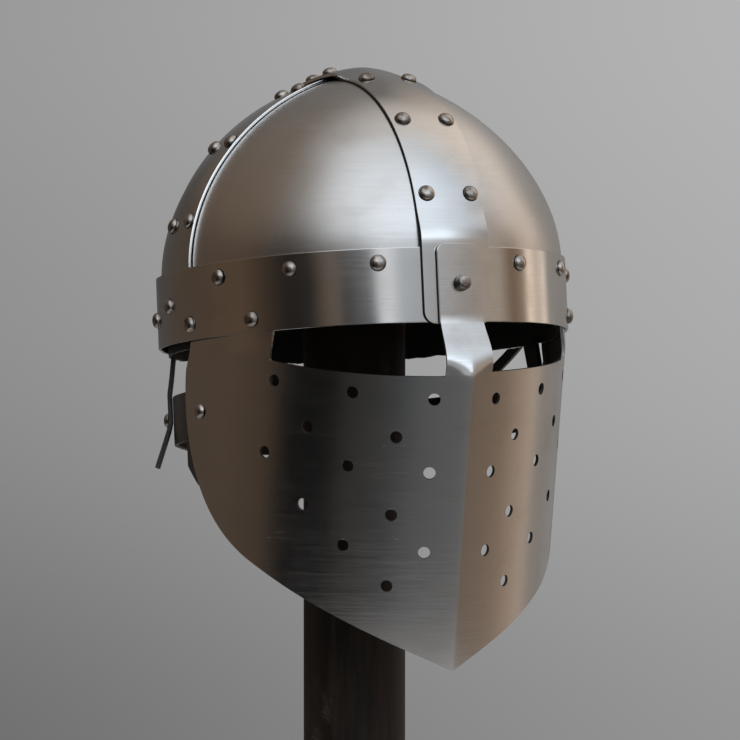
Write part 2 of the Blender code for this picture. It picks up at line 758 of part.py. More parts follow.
def make_hanger(name, sign, angle_top, angle_foot, parent):
    """Leather strap from the lining down over the neck strap, with a loose tail."""
    strap_middle = NECK_STRAP_HEIGHT - strap_sag(angle_foot)
    strap_top = strap_middle + NECK_STRAP_WIDTH / 2
    strap_foot = strap_middle - NECK_STRAP_WIDTH / 2
    top = -LINER_DROP - SEAT_GAP
    outside = LEATHER + 2 * SEAT_GAP
    stations = (
        {"height": top, "out": 0.0, "turn": 0.0},
        {"height": (top + strap_top) / 2, "out": outside * 0.5, "turn": 0.42},
        {"height": strap_top + LEATHER, "out": outside, "turn": 0.75},
        {"height": strap_middle, "out": outside, "turn": 1.0},
        {"height": strap_foot + HANGER_TAIL * 0.4, "out": outside + TAIL_SPLAY * 0.12, "turn": 1.0},
        {"height": strap_foot, "out": outside + TAIL_SPLAY * 0.5, "turn": 1.0},
        {"height": strap_foot - HANGER_TAIL * 0.5, "out": outside + TAIL_SPLAY, "turn": 1.0},
    )
    half_turn = HANGER_WIDTH / 2 / NECK_STRAP_REACH
    rows = []
    for station in stations:
        angle = angle_top + (angle_foot - angle_top) * station["turn"]
        row = []
        for share in (-1.0, 0.0, 1.0):
            around = angle + share * half_turn
            point = strap_point(around, station["height"], station["out"])
            row.append(Vector((sign * point.x, point.y, point.z)))
        rows.append(row)
    make_sheet(name, [rows], LEATHER, "black_leather", parent, inside=STRAP_MIDDLE)


def make_chin_strap(name, sign, top, front, lean, parent):
    """Leather strap that hangs inside the cheek, leaning forward, with a slanted end."""
    inside = -LEATHER - SEAT_GAP
    rows = []
    for share in (0.0, 0.25, 0.5, 0.75, 1.0):
        foot = CHIN_STRAP_END + share * CHIN_STRAP_POINT
        column = []
        for height in (top, (top + foot) / 2, foot):
            y = front + share * CHIN_STRAP_WIDTH - lean * (top - height)
            angle = math.copysign(math.asin((abs(y) / NECK_STRAP_REACH) ** (SECTION_POWER / 2)), y)
            point = strap_point(angle, height, inside)
            column.append(Vector((sign * point.x, point.y, point.z)))
        rows.append(column)
    make_sheet(name, [rows], LEATHER, "black_leather", parent, inside=STRAP_MIDDLE)


def turned_solid(name, profile, finish, smooth=True):
    """A solid turned about Z from a profile that starts and ends on the axis."""
    bm = bmesh.new()
    verts = [bm.verts.new((radius, 0.0, height)) for radius, height in profile]
    edges = [bm.edges.new(pair) for pair in zip(verts, verts[1:])]
    bmesh.ops.spin(
        bm, geom=verts + edges, cent=(0, 0, 0), axis=(0, 0, 1), angle=math.tau, steps=ROUND_SIDES,
    )
    bmesh.ops.remove_doubles(bm, verts=bm.verts, dist=1e-6)
    bmesh.ops.recalc_face_normals(bm, faces=bm.faces)
    return make_object(name, bm, finish, None, smooth)


def cap_ring(frame, radius):
    """Points of the cap's top at one radius from the post's axis, under the skull plates."""
    into_helmet = frame.inverted()
    up = (into_helmet.to_3x3() @ Vector((0, 0, 1))).normalized()
    ring = []
    for k in range(ROUND_SIDES):
        angle = math.tau * k / ROUND_SIDES
        start = into_helmet @ Vector((radius * math.cos(angle), radius * math.sin(angle), HELMET_HEIGHT))
        ring.append(frame @ skull_hit(start, up, -LAP - SEAT_GAP))
    return ring


def make_stand(frame):
    """Steel base plate with the post welded on, and the domed cap that carries the helmet."""
    radius = POST_DIAMETER / 2
    rings = [cap_ring(frame, radius * share) for share in (1.0, 0.66, 0.33)]
    rim_foot = min(point.z for point in rings[0]) - CAP_RIM
    post_top = rim_foot - SEAT_GAP
    bore = radius - POST_WALL
    base = BASE_DIAMETER / 2
    turned_solid("post_stand", [
        (0.0, 0.0),
        (base - BASE_EDGE, 0.0),
        (base, BASE_EDGE),
        (base, BASE_THICKNESS - BASE_EDGE),
        (base - BASE_EDGE, BASE_THICKNESS),
        (radius + WELD, BASE_THICKNESS),
        (radius, BASE_THICKNESS + WELD),
        (radius, post_top),
        (bore, post_top),
        (bore, BASE_THICKNESS),
        (0.0, BASE_THICKNESS),
    ], "rusty_steel")

    bm = bmesh.new()
    plug = bore - SEAT_GAP
    loops = []
    for ring_radius, height in ((plug, rim_foot - CAP_PLUG), (plug, rim_foot), (radius, rim_foot)):
        loops.append([
            bm.verts.new((
                ring_radius * math.cos(math.tau * k / ROUND_SIDES),
                ring_radius * math.sin(math.tau * k / ROUND_SIDES),
                height,
            ))
            for k in range(ROUND_SIDES)
        ])
    loops += [[bm.verts.new(point) for point in ring] for ring in rings]
    for lower, upper in zip(loops, loops[1:]):
        for k in range(ROUND_SIDES):
            after = (k + 1) % ROUND_SIDES
            bm.faces.new((lower[k], lower[after], upper[after], upper[k]))
    bm.faces.new(loops[0][::-1])
    bm.faces.new(loops[-1])
    make_object("stand_cap", bm, "rusty_steel", None)


def make_helmet_frame():
    """Empty that carries the helmet, tilted back on the post."""
    frame = bpy.data.objects.new("helmet_frame", None)
    frame.location = (0.0, -POST_BEHIND, HELMET_HEIGHT)
    frame.rotation_euler = (-HELMET_PITCH, 0.0, 0.0)
    bpy.context.scene.collection.objects.link(frame)
    return frame


def main():
    """Build the helmet and its stand."""
    clear_scene()
    frame = make_helmet_frame()
    bpy.context.view_layer.update()
    make_skull_plates(frame)
    make_side_band(frame)
    make_front_back_band(frame)
    make_brow_band(frame)
    make_face_plate(frame)
    make_stud(frame)
    make_band_rivets(frame)
    make_brow_rivets(frame)
    make_liner(frame)
    make_neck_strap(frame)
    make_hanger("hanger_right", -1, HANGER_ANGLE, HANGER_ANGLE, frame)
    make_hanger("hanger_left", 1, HANGER_SLANT_START, HANGER_SLANT_END, frame)
    make_hanger("hanger_back", 1, HANGER_BACK_ANGLE, HANGER_BACK_ANGLE, frame)
    strap_foot = NECK_STRAP_HEIGHT - NECK_STRAP_WIDTH / 2
    make_chin_strap("chin_strap_right", -1, strap_foot + CHIN_STRAP_WIDTH, CHIN_STRAP_FRONT, 0.0, frame)
    liner_foot = -LINER_DROP - SEAT_GAP
    make_chin_strap("chin_strap_left", 1, liner_foot, CHIN_STRAP_FRONT_LEFT, CHIN_STRAP_LEAN_LEFT, frame)
    make_stand(frame.matrix_world.copy())


main()
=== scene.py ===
"""Dress the riveted helmet and its post stand with fine sheet metal, leather and studio light.

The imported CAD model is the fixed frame. Each class below holds one sub-assembly's
sizes and makes its meshes in the helmet's own upright frame, whose origin is the
middle of the brow band's lower edge. HelmetPose tilts them onto the post.
Sizes are in metres, and angles in radians where a name doesn't say degrees.
"""

from __future__ import annotations

import logging
import math
from dataclasses import dataclass, field
from enum import Enum
from typing import Iterable, Sequence

import bmesh
import bpy
import numpy as np
from mathutils import Matrix, Vector, noise

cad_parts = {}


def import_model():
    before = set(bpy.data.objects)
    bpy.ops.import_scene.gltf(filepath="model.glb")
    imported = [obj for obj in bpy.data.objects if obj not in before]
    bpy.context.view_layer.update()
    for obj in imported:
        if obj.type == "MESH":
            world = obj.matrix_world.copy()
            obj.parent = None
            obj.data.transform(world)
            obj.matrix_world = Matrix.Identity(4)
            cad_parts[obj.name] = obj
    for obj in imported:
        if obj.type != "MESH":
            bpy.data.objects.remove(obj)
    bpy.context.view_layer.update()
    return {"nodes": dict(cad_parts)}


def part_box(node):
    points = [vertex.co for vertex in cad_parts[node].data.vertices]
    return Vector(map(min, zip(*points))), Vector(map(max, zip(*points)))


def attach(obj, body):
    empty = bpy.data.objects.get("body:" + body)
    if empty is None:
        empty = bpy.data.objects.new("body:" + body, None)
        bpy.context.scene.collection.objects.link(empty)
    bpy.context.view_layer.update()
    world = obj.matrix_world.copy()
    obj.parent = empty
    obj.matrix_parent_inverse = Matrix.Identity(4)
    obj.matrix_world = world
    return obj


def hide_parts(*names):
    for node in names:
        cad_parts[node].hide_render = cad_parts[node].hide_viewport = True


LOG = logging.getLogger("helmet")
Material = bpy.types.Material
Profile = Sequence[tuple[float, float]]
Rows = list[list[Vector]]
Span = tuple[float, float]
Triple = tuple[float, float, float]
SEED = 11
PITCH = math.radians(6.2)
SHEET = 0.0016
LEATHER = 0.0022
SEAT_GAP = 0.0003
LAP = SHEET + SEAT_GAP
RIVET_SIDES = 26
RIVET_CREASE = 60.0
TINY = 1e-7


class Side(Enum):
    """The wearer's side, as the sign of X."""

    RIGHT = -1
    LEFT = 1


class Slot(Enum):
    """Material slots that the pieces belong to."""

    SKULL = "skull_steel"
    BAND = "band_steel"
    PLATE = "plate_steel"
    RIVETS = "rivets"
    LINING = "lining_leather"
    STRAP = "strap_leather"
    STAND = "stand_steel"


# Shader graphs


@dataclass(frozen=True)
class Pattern:
    """A noise pattern in a piece's own coordinates."""

    scale: float
    detail: float = 4.0
    roughness: float = 0.6
    stretch: Triple = (1.0, 1.0, 1.0)
    tilt: float = 0.0


class Signal:
    """A node socket that takes part in Python arithmetic by adding Math nodes."""

    def __init__(self, graph: Graph, socket: bpy.types.NodeSocket) -> None:
        """Wrap one output socket of a graph."""
        self.graph = graph
        self.socket = socket

    def _math(self, operation: str, *values: Signal | float) -> Signal:
        """Add one Math node on the given values."""
        return self.graph.node("ShaderNodeMath", {"operation": operation}, dict(enumerate(values)))

    def __add__(self, other: Signal | float) -> Signal:
        """Sum."""
        return self._math("ADD", self, other)

    __radd__ = __add__

    def __mul__(self, other: Signal | float) -> Signal:
        """Product."""
        return self._math("MULTIPLY", self, other)

    __rmul__ = __mul__

    def __sub__(self, other: Signal | float) -> Signal:
        """Difference."""
        return self._math("SUBTRACT", self, other)

    def __rsub__(self, other: float) -> Signal:
        """Difference from a number."""
        return self._math("SUBTRACT", other, self)

    def between(self, low: float, high: float) -> Signal:
        """Ease from 0 at the low value to 1 at the high one."""
        inputs = {0: self, 1: low, 2: high, 3: 0.0, 4: 1.0}
        return self.graph.node("ShaderNodeMapRange", {"interpolation_type": "SMOOTHSTEP"}, inputs)


class Graph:
    """A node tree under construction."""

    def __init__(self, tree: bpy.types.NodeTree) -> None:
        """Start on an empty tree."""
        self.tree = tree
        tree.nodes.clear()

    def node(
        self,
        kind: str,
        settings: dict[str, object] | None = None,
        inputs: dict[str | int, object] | None = None,
        output: str | int = 0,
    ) -> Signal:
        """Add a node, set it up and feed it.

        Args:
            kind: the node's type name.
            settings: properties set first; "stops" fills a colour ramp with (place, colour) pairs.
            inputs: values or signals by socket name or number.
            output: the output socket that is returned.

        Returns:
            The chosen output as a signal.
        """
        made = self.tree.nodes.new(kind)
        for name, value in (settings or {}).items():
            if name == "stops":
                self._fill_ramp(made.color_ramp, value)
            else:
                setattr(made, name, value)
        self._feed(made, inputs or {})
        return Signal(self, made.outputs[output])

    def end(self, kind: str, result: Signal) -> None:
        """Add the tree's output node and link the result to it."""
        self._feed(self.tree.nodes.new(kind), {0: result})

    def _feed(self, node: bpy.types.Node, inputs: dict[str | int, object]) -> None:
        """Link or set a node's input sockets.

        Args:
            node: the node that is fed.
            inputs: values or signals by socket name or number.
        """
        for key, value in inputs.items():
            if isinstance(value, Signal):
                self.tree.links.new(value.socket, node.inputs[key])
            else:
                node.inputs[key].default_value = value

    @staticmethod
    def _fill_ramp(ramp: bpy.types.ColorRamp, stops: Sequence[tuple[float, Triple]]) -> None:
        """Give a colour ramp its stops.

        Args:
            ramp: the ramp, which starts with two stops.
            stops: places from 0 to 1 in rising order, each with its colour.
        """
        ramp.elements.remove(ramp.elements[-1])
        for index, (place, colour) in enumerate(stops):
            element = ramp.elements[0] if index == 0 else ramp.elements.new(place)
            element.position = place
            element.color = (*colour, 1.0)

    def mix(self, share: Signal | float, low: Signal | Triple, high: Signal | Triple) -> Signal:
        """Blend two colours by a share."""
        inputs = {0: share, 6: rgba(low), 7: rgba(high)}
        return self.node("ShaderNodeMix", {"data_type": "RGBA"}, inputs, output=2)

    def split(self, vector: Signal) -> list[Signal]:
        """The three parts of a vector."""
        parts = self.node("ShaderNodeSeparateXYZ", {}, {0: vector}).socket.node.outputs
        return [Signal(self, part) for part in parts]

    def coordinates(self, stretch: Triple = (1.0, 1.0, 1.0), tilt: float = 0.0) -> Signal:
        """Object coordinates, stretched along each axis and tilted about X in radians."""
        inputs = {"Vector": self.node("ShaderNodeTexCoord", output="Object"), "Scale": stretch}
        return self.node("ShaderNodeMapping", {}, {**inputs, "Rotation": (tilt, 0.0, 0.0)})

    def noise(self, pattern: Pattern) -> Signal:
        """Noise in a piece's own coordinates.

        Args:
            pattern: the noise's sizes.

        Returns:
            Its value, from 0 to 1.
        """
        inputs = {"Scale": pattern.scale, "Detail": pattern.detail, "Roughness": pattern.roughness}
        vector = self.coordinates(pattern.stretch, pattern.tilt)
        return self.node("ShaderNodeTexNoise", {}, {"Vector": vector, **inputs})

    def bump(
        self, height: Signal, distance: float, strength: float = 1.0, under: Signal | None = None
    ) -> Signal:
        """Bump normal from a height.

        Args:
            height: the height, from 0 to 1.
            distance: what a height of 1 stands for.
            strength: how strongly it bends the light.
            under: a normal that it is laid on.

        Returns:
            The normal.
        """
        inputs: dict[str | int, object] = {"Height": height, "Distance": distance, "Strength": strength}
        if under is not None:
            inputs["Normal"] = under
        return self.node("ShaderNodeBump", {}, inputs)


def rgba(colour: Signal | Triple) -> Signal | tuple[float, ...]:
    """A colour triple with alpha, or the signal it already is."""
    return colour if isinstance(colour, Signal) else (*colour, 1.0)


def shaded(colour: Triple, share: float) -> Triple:
    """A colour with its brightness multiplied."""
    return tuple(share * part for part in colour)


# Finishes


@dataclass(frozen=True)
class Finish:
    """A Principled material, whose sockets each kind of finish gives."""

    name: str

    def build(self) -> Material:
        """Make the material.

        Returns:
            The material with its shader linked.
        """
        material = bpy.data.materials.new(self.name)
        material.use_nodes = True
        graph = Graph(material.node_tree)
        graph.end("ShaderNodeOutputMaterial", graph.node("ShaderNodeBsdfPrincipled", {}, self.sockets(graph)))
        return material

    def sockets(self, graph: Graph) -> dict[str | int, object]:
        """What the shader's sockets get."""
        raise NotImplementedError


@dataclass(frozen=True)
class BrushedSteel(Finish):
    """Unpainted sheet, brushed level round the helmet."""

    colour: Triple = (0.56, 0.555, 0.55)
    stain: Triple = (0.40, 0.36, 0.32)
    streak_shade: float = 0.55
    streak_tone: float = 0.12
    coarse_share: float = 0.6
    fine_share: float = 0.4
    streaks: Span = (0.30, 0.70)
    stains: Span = (0.46, 0.78)
    specks: Span = (0.66, 0.80)
    clouds: Span = (0.42, 0.75)
    roughness: float = 0.27
    roughness_swing: float = 0.10
    cloud_roughness: float = 0.06
    cloud_stain: float = 0.45
    speck_stain: float = 0.30
    brush_depth: float = 0.000010
    wave_depth: float = 0.0005
    anisotropy: float = 0.55
    brush_turn: float = 0.25
    coarse: Pattern = Pattern(1.0, 3.0, 0.7, stretch=(24.0, 24.0, 1700.0), tilt=PITCH)
    fine: Pattern = Pattern(1.0, 2.0, 0.6, stretch=(60.0, 60.0, 5200.0), tilt=PITCH)
    cloud: Pattern = Pattern(26.0, 4.0, 0.55)
    speck: Pattern = Pattern(520.0, 2.0, 0.5)
    wave: Pattern = Pattern(17.0, 1.0, 0.4, stretch=(1.0, 1.0, 0.45))

    def sockets(self, graph: Graph) -> dict[str | int, object]:
        """Brush lines, soft stains and a slight hand-worked unevenness.

        Args:
            graph: the material's tree.

        Returns:
            Values and signals by socket name.
        """
        brush = graph.noise(self.coarse) * self.coarse_share + graph.noise(self.fine) * self.fine_share
        streak = brush.between(*self.streaks)
        cloud = graph.noise(self.cloud)
        speck = graph.noise(self.speck).between(*self.specks)
        stained = cloud.between(*self.stains) * self.cloud_stain + speck * self.speck_stain
        tone = graph.mix(stained, self.colour, self.stain)
        worked = graph.bump(graph.noise(self.wave), self.wave_depth)
        cloudy = cloud.between(*self.clouds)
        return {
            "Base Color": graph.mix(streak * self.streak_tone, tone, shaded(self.colour, self.streak_shade)),
            "Metallic": 1.0,
            "Roughness": self.roughness + self.roughness_swing * streak + self.cloud_roughness * cloudy,
            "Anisotropic": self.anisotropy,
            "Anisotropic Rotation": self.brush_turn,
            "Normal": graph.bump(brush, self.brush_depth, under=worked),
        }


@dataclass(frozen=True)
class WornSteel(Finish):
    """Steel with darker patches, as on filed edges, raw inner faces and rivet heads."""

    colour: Triple = (0.40, 0.375, 0.350)
    dark: Triple = (0.12, 0.100, 0.085)
    metallic: float = 1.0
    roughness: float = 0.22
    roughness_swing: float = 0.14
    patches: Pattern = Pattern(210.0)
    patch_span: Span = (0.40, 0.70)
    dents: Pattern | None = Pattern(420.0, 2.0, 0.5)
    dent_depth: float = 0.00008
    dent_strength: float = 0.7

    def sockets(self, graph: Graph) -> dict[str | int, object]:
        """Patches of another tone and roughness, with dents where it has them.

        Args:
            graph: the material's tree.

        Returns:
            Values and signals by socket name.
        """
        patch = graph.noise(self.patches).between(*self.patch_span)
        given: dict[str | int, object] = {
            "Base Color": graph.mix(patch, self.colour, self.dark),
            "Metallic": self.metallic,
            "Roughness": self.roughness + self.roughness_swing * patch,
        }
        if self.dents is not None:
            given["Normal"] = graph.bump(graph.noise(self.dents), self.dent_depth, self.dent_strength)
        return given


@dataclass(frozen=True)
class BlackLeather(Finish):
    """Dyed leather with a fine grain."""

    colour: Triple = (0.006, 0.0058, 0.0056)
    rubbed: Triple = (0.020, 0.0185, 0.0165)
    roughness: float = 0.42
    worn_roughness: float = 0.18
    crease_gloss: float = 0.06
    grain_scale: float = 900.0
    grain_depth: float = 0.00016
    grain_strength: float = 0.8
    grain_share: float = 0.5
    crease_share: float = 0.6
    grain_span: Span = (0.0, 0.32)
    worn_span: Span = (0.48, 0.76)
    rubbed_share: float = 0.8
    specular: float = 0.3
    coat: float = 0.0
    coat_roughness: float = 0.22
    wear: Pattern = Pattern(70.0)
    creases: Pattern = Pattern(120.0, 3.0, stretch=(1.0, 1.0, 3.5))

    def sockets(self, graph: Graph) -> dict[str | int, object]:
        """Pebbled grain, creases and rubbed places.

        Args:
            graph: the material's tree.

        Returns:
            Values and signals by socket name.
        """
        inputs = {"Vector": graph.coordinates(), "Scale": self.grain_scale}
        grain = graph.node("ShaderNodeTexVoronoi", {"feature": "DISTANCE_TO_EDGE"}, inputs)
        crease = graph.noise(self.creases)
        worn = graph.noise(self.wear).between(*self.worn_span)
        height = grain.between(*self.grain_span) * self.grain_share + crease * self.crease_share
        return {
            "Base Color": graph.mix(worn * self.rubbed_share, self.colour, self.rubbed),
            "Roughness": self.roughness + self.worn_roughness * worn - self.crease_gloss * crease,
            "Specular IOR Level": self.specular,
            "Coat Weight": self.coat,
            "Coat Roughness": self.coat_roughness,
            "Normal": graph.bump(height, self.grain_depth, self.grain_strength),
        }


@dataclass(frozen=True)
class RustySteel(Finish):
    """Old steel tube and plate with a dark brown skin of rust."""

    dark: Triple = (0.007, 0.0055, 0.0045)
    brown: Triple = (0.036, 0.023, 0.015)
    bare: Triple = (0.110, 0.084, 0.062)
    roughness: float = 0.55
    rust_roughness: float = 0.22
    metallic: float = 0.10
    specular: float = 0.2
    streak_share: float = 0.65
    cloud_share: float = 0.35
    streak_span: Span = (0.38, 0.68)
    cloud_span: Span = (0.45, 0.7)
    scuff_span: Span = (0.60, 0.74)
    pit_span: Span = (0.35, 0.6)
    pit_depth: float = 0.0003
    pit_share: float = 0.5
    ridge_share: float = 0.6
    relief: float = 0.6
    streaks: Pattern = Pattern(115.0, 4.0, 0.62, stretch=(1.0, 1.0, 0.10))
    cloud: Pattern = Pattern(30.0, stretch=(1.0, 1.0, 0.6))
    pits: Pattern = Pattern(640.0, 3.0)

    def sockets(self, graph: Graph) -> dict[str | int, object]:
        """Dark scale, upright brown streaks and small bare scuffs.

        Args:
            graph: the material's tree.

        Returns:
            Values and signals by socket name.
        """
        streaks, cloud, pits = (graph.noise(pattern) for pattern in (self.streaks, self.cloud, self.pits))
        brown = streaks.between(*self.streak_span) * self.streak_share
        brown = brown + cloud.between(*self.cloud_span) * self.cloud_share
        scuff = cloud.between(*self.scuff_span) * pits.between(*self.pit_span)
        height = pits * self.pit_share + streaks * self.ridge_share
        return {
            "Base Color": graph.mix(scuff, graph.mix(brown, self.dark, self.brown), self.bare),
            "Metallic": self.metallic,
            "Roughness": self.roughness + self.rust_roughness * brown,
            "Specular IOR Level": self.specular,
            "Normal": graph.bump(height, self.pit_depth, self.relief),
        }


@dataclass(frozen=True)
class StudioPaint(Finish):
    """Plain matt ground."""

    colour: Triple = (0.55, 0.54, 0.53)
    shade: float = 0.93
    roughness: float = 0.8
    mottle: Pattern = Pattern(9.0)

    def sockets(self, graph: Graph) -> dict[str | int, object]:
        """Matt paint with a faint mottle."""
        tone = graph.mix(graph.noise(self.mottle), self.colour, shaded(self.colour, self.shade))
        return {"Base Color": tone, "Roughness": self.roughness}


SKULL_STEEL = BrushedSteel("Skull steel", brush_depth=0.000005, anisotropy=0.1)
BAND_STEEL = BrushedSteel(
    "Band steel",
    roughness=0.115,
    roughness_swing=0.06,
    brush_depth=0.000005,
    wave_depth=0.0008,
    wave=Pattern(17.0, 1.0, 0.4, stretch=(1.0, 1.0, 0.2)),
    anisotropy=0.25,
)
PLATE_STEEL = BrushedSteel(
    "Face plate steel", stain=(0.33, 0.29, 0.255), roughness=0.14, brush_depth=0.0000025, anisotropy=0.3
)
FILED_EDGE = WornSteel(
    "Filed edge",
    colour=(0.84, 0.83, 0.82),
    dark=(0.16, 0.14, 0.12),
    roughness_swing=0.25,
    patches=Pattern(180.0, 3.0),
    patch_span=(0.62, 0.78),
    dents=None,
)
# Inner faces: unpolished steel, darkened further as painted shade of the helmet's unlit inside
RAW_SHADED_FACE = WornSteel(
    "Raw inner face",
    colour=(0.085, 0.078, 0.070),
    dark=(0.035, 0.030, 0.027),
    metallic=0.75,
    roughness=0.58,
    roughness_swing=0.15,
    patches=Pattern(38.0, 5.0),
    patch_span=(0.38, 0.66),
    dents=Pattern(38.0, 5.0),
    dent_depth=0.0004,
    dent_strength=0.6,
)
STUD_STEEL = WornSteel("Stud steel", colour=(0.34, 0.32, 0.30), dark=(0.05, 0.042, 0.036))
CUT_EDGE = BlackLeather("Cut strap edge", colour=(0.03, 0.027, 0.024), rubbed=(0.09, 0.08, 0.07))


@dataclass(frozen=True)
class Finishes:
    """The object's materials, which are made together with this set."""

    skull: Material = field(default_factory=SKULL_STEEL.build)
    band: Material = field(default_factory=BAND_STEEL.build)
    plate: Material = field(default_factory=PLATE_STEEL.build)
    edge: Material = field(default_factory=FILED_EDGE.build)
    raw_shaded: Material = field(default_factory=RAW_SHADED_FACE.build)
    # Near-black finish of the painted shadow lines at the band seams and of the rings of painted contact
    # shade and grime round the rivets
    painted_shade_and_dirt: Material = field(default_factory=BlackLeather("Seam dirt", roughness=0.8).build)
    rivet: Material = field(default_factory=WornSteel("Rivet steel").build)
    stud: Material = field(default_factory=STUD_STEEL.build)
    lining: Material = field(default_factory=BlackLeather("Lining leather", roughness=0.62).build)
    strap: Material = field(default_factory=BlackLeather("Strap leather", roughness=0.36, coat=0.25).build)
    strap_edge: Material = field(default_factory=CUT_EDGE.build)
    rust: Material = field(default_factory=RustySteel("Rusty steel").build)

    def steel(self, outer: Material) -> tuple[Material, ...]:
        """Outer face, inner face and cut edge of a steel sheet."""
        return outer, self.raw_shaded, self.edge


# The skull's form, as in the CAD model


def smoothstep(value: float, low: float, high: float) -> float:
    """Ease from 0 at the low value to 1 at the high one."""
    share = min(max((value - low) / (high - low), 0.0), 1.0)
    return share * share * (3.0 - 2.0 * share)


def signed_power(value: float, power: float) -> float:
    """A power that keeps the sign of its base."""
    return math.copysign(abs(value) ** power, value)


@dataclass(frozen=True)
class SkullForm:
    """The skull's surface: level superellipses that shrink towards the crown."""

    width: float = 0.2042
    length: float = 0.2390
    height: float = 0.1412
    crown_shift: float = 0.0127
    crown_opening: float = 0.06
    power: float = 2.1
    side_rise: float = 1.885
    side_turn: float = 1.60
    front_rise: float = 1.95
    front_turn: float = 2.53
    brow: float = 0.0375
    halvings: int = 26
    probe: float = 0.0002

    def section(self, height: float, stand_off: float) -> Triple:
        """One level section.

        Args:
            height: its height over the brow band's foot.
            stand_off: how far outside the skull's face the surface lies.

        Returns:
            Half width, half length, and how far back its centre is.
        """
        top = self.height + stand_off
        climb = min(max((height - self.brow) / (top - self.brow), 0.0), 1.0)
        half_width = (self.width / 2 + stand_off) * (1 - climb**self.side_rise) ** (1 / self.side_turn)
        half_length = (self.length / 2 + stand_off) * (1 - climb**self.front_rise) ** (1 / self.front_turn)
        return half_width, half_length, self.crown_shift * climb**2

    def measure(self, point: Vector, stand_off: float) -> float:
        """Which side of the surface a point is on.

        Args:
            point: a place in the helmet's frame.
            stand_off: how far outside the skull's face the surface lies.

        Returns:
            Below 1 inside the surface and above 1 outside it.
        """
        half_width, half_length, shift = self.section(point.z, stand_off)
        if min(half_width, half_length) < TINY:
            return 2.0
        return (abs(point.x) / half_width) ** self.power + (abs(point.y - shift) / half_length) ** self.power

    def hit(self, start: Vector, direction: Vector, stand_off: float) -> Vector:
        """Where a ray leaves the surface.

        Args:
            start: a point inside it.
            direction: the ray's unit direction.
            stand_off: how far outside the skull's face the surface lies.

        Returns:
            The point on the surface.
        """
        near, far = 0.0, self.length
        for _ in range(self.halvings):
            middle = (near + far) / 2
            if self.measure(start + direction * middle, stand_off) < 1.0:
                near = middle
            else:
                far = middle
        return start + direction * near

    def normal(self, point: Vector, stand_off: float) -> Vector:
        """Outward direction of the surface.

        Args:
            point: a point on it.
            stand_off: how far outside the skull's face the surface lies.

        Returns:
            A unit vector.
        """

        def slope(axis: tuple[int, int, int]) -> float:
            """How fast the measure grows along an axis."""
            step = Vector(axis) * self.probe
            return self.measure(point + step, stand_off) - self.measure(point - step, stand_off)

        return Vector([slope(axis) for axis in ((1, 0, 0), (0, 1, 0), (0, 0, 1))]).normalized()

    def wall(self, angle: float, height: float, stand_off: float) -> Vector:
        """A point of a level section.

        Args:
            angle: 0 is the wearer's left and a quarter turn is the back.
            height: the section's height.
            stand_off: how far outside the skull's face it lies.

        Returns:
            The point.
        """
        half_width, half_length, shift = self.section(height, stand_off)
        across = half_width * signed_power(math.cos(angle), 2 / self.power)
        along = half_length * signed_power(math.sin(angle), 2 / self.power)
        return Vector((across, shift + along, height))

    def crown(self, climb: float) -> float:
        """Height of a share of the rise above the brow band."""
        return self.brow + climb * (self.height - self.brow)


# Meshes


def plain(piece: bpy.types.Object) -> bpy.types.Object:
    """Turn a piece and its modifiers into one plain mesh.

    Args:
        piece: the object, which is changed.

    Returns:
        The same object.
    """
    graph = bpy.context.evaluated_depsgraph_get()
    data = bpy.data.meshes.new_from_object(piece.evaluated_get(graph))
    piece.modifiers.clear()
    piece.data = data
    return piece


def linked(name: str, data: bpy.types.ID) -> bpy.types.Object:
    """Make an object from a mesh, camera or light, and put it in the scene.

    Args:
        name: the object's name.
        data: what it shows.

    Returns:
        The object.
    """
    made = bpy.data.objects.new(name, data)
    bpy.context.scene.collection.objects.link(made)
    return made


@dataclass(frozen=True)
class HelmetPose:
    """How the helmet sits on the post."""

    height: float = 0.300
    behind: float = 0.011
    pitch: float = PITCH

    def matrix(self) -> Matrix:
        """From the helmet's frame to the row's."""
        return Matrix.Translation((0.0, -self.behind, self.height)) @ Matrix.Rotation(-self.pitch, 4, "X")


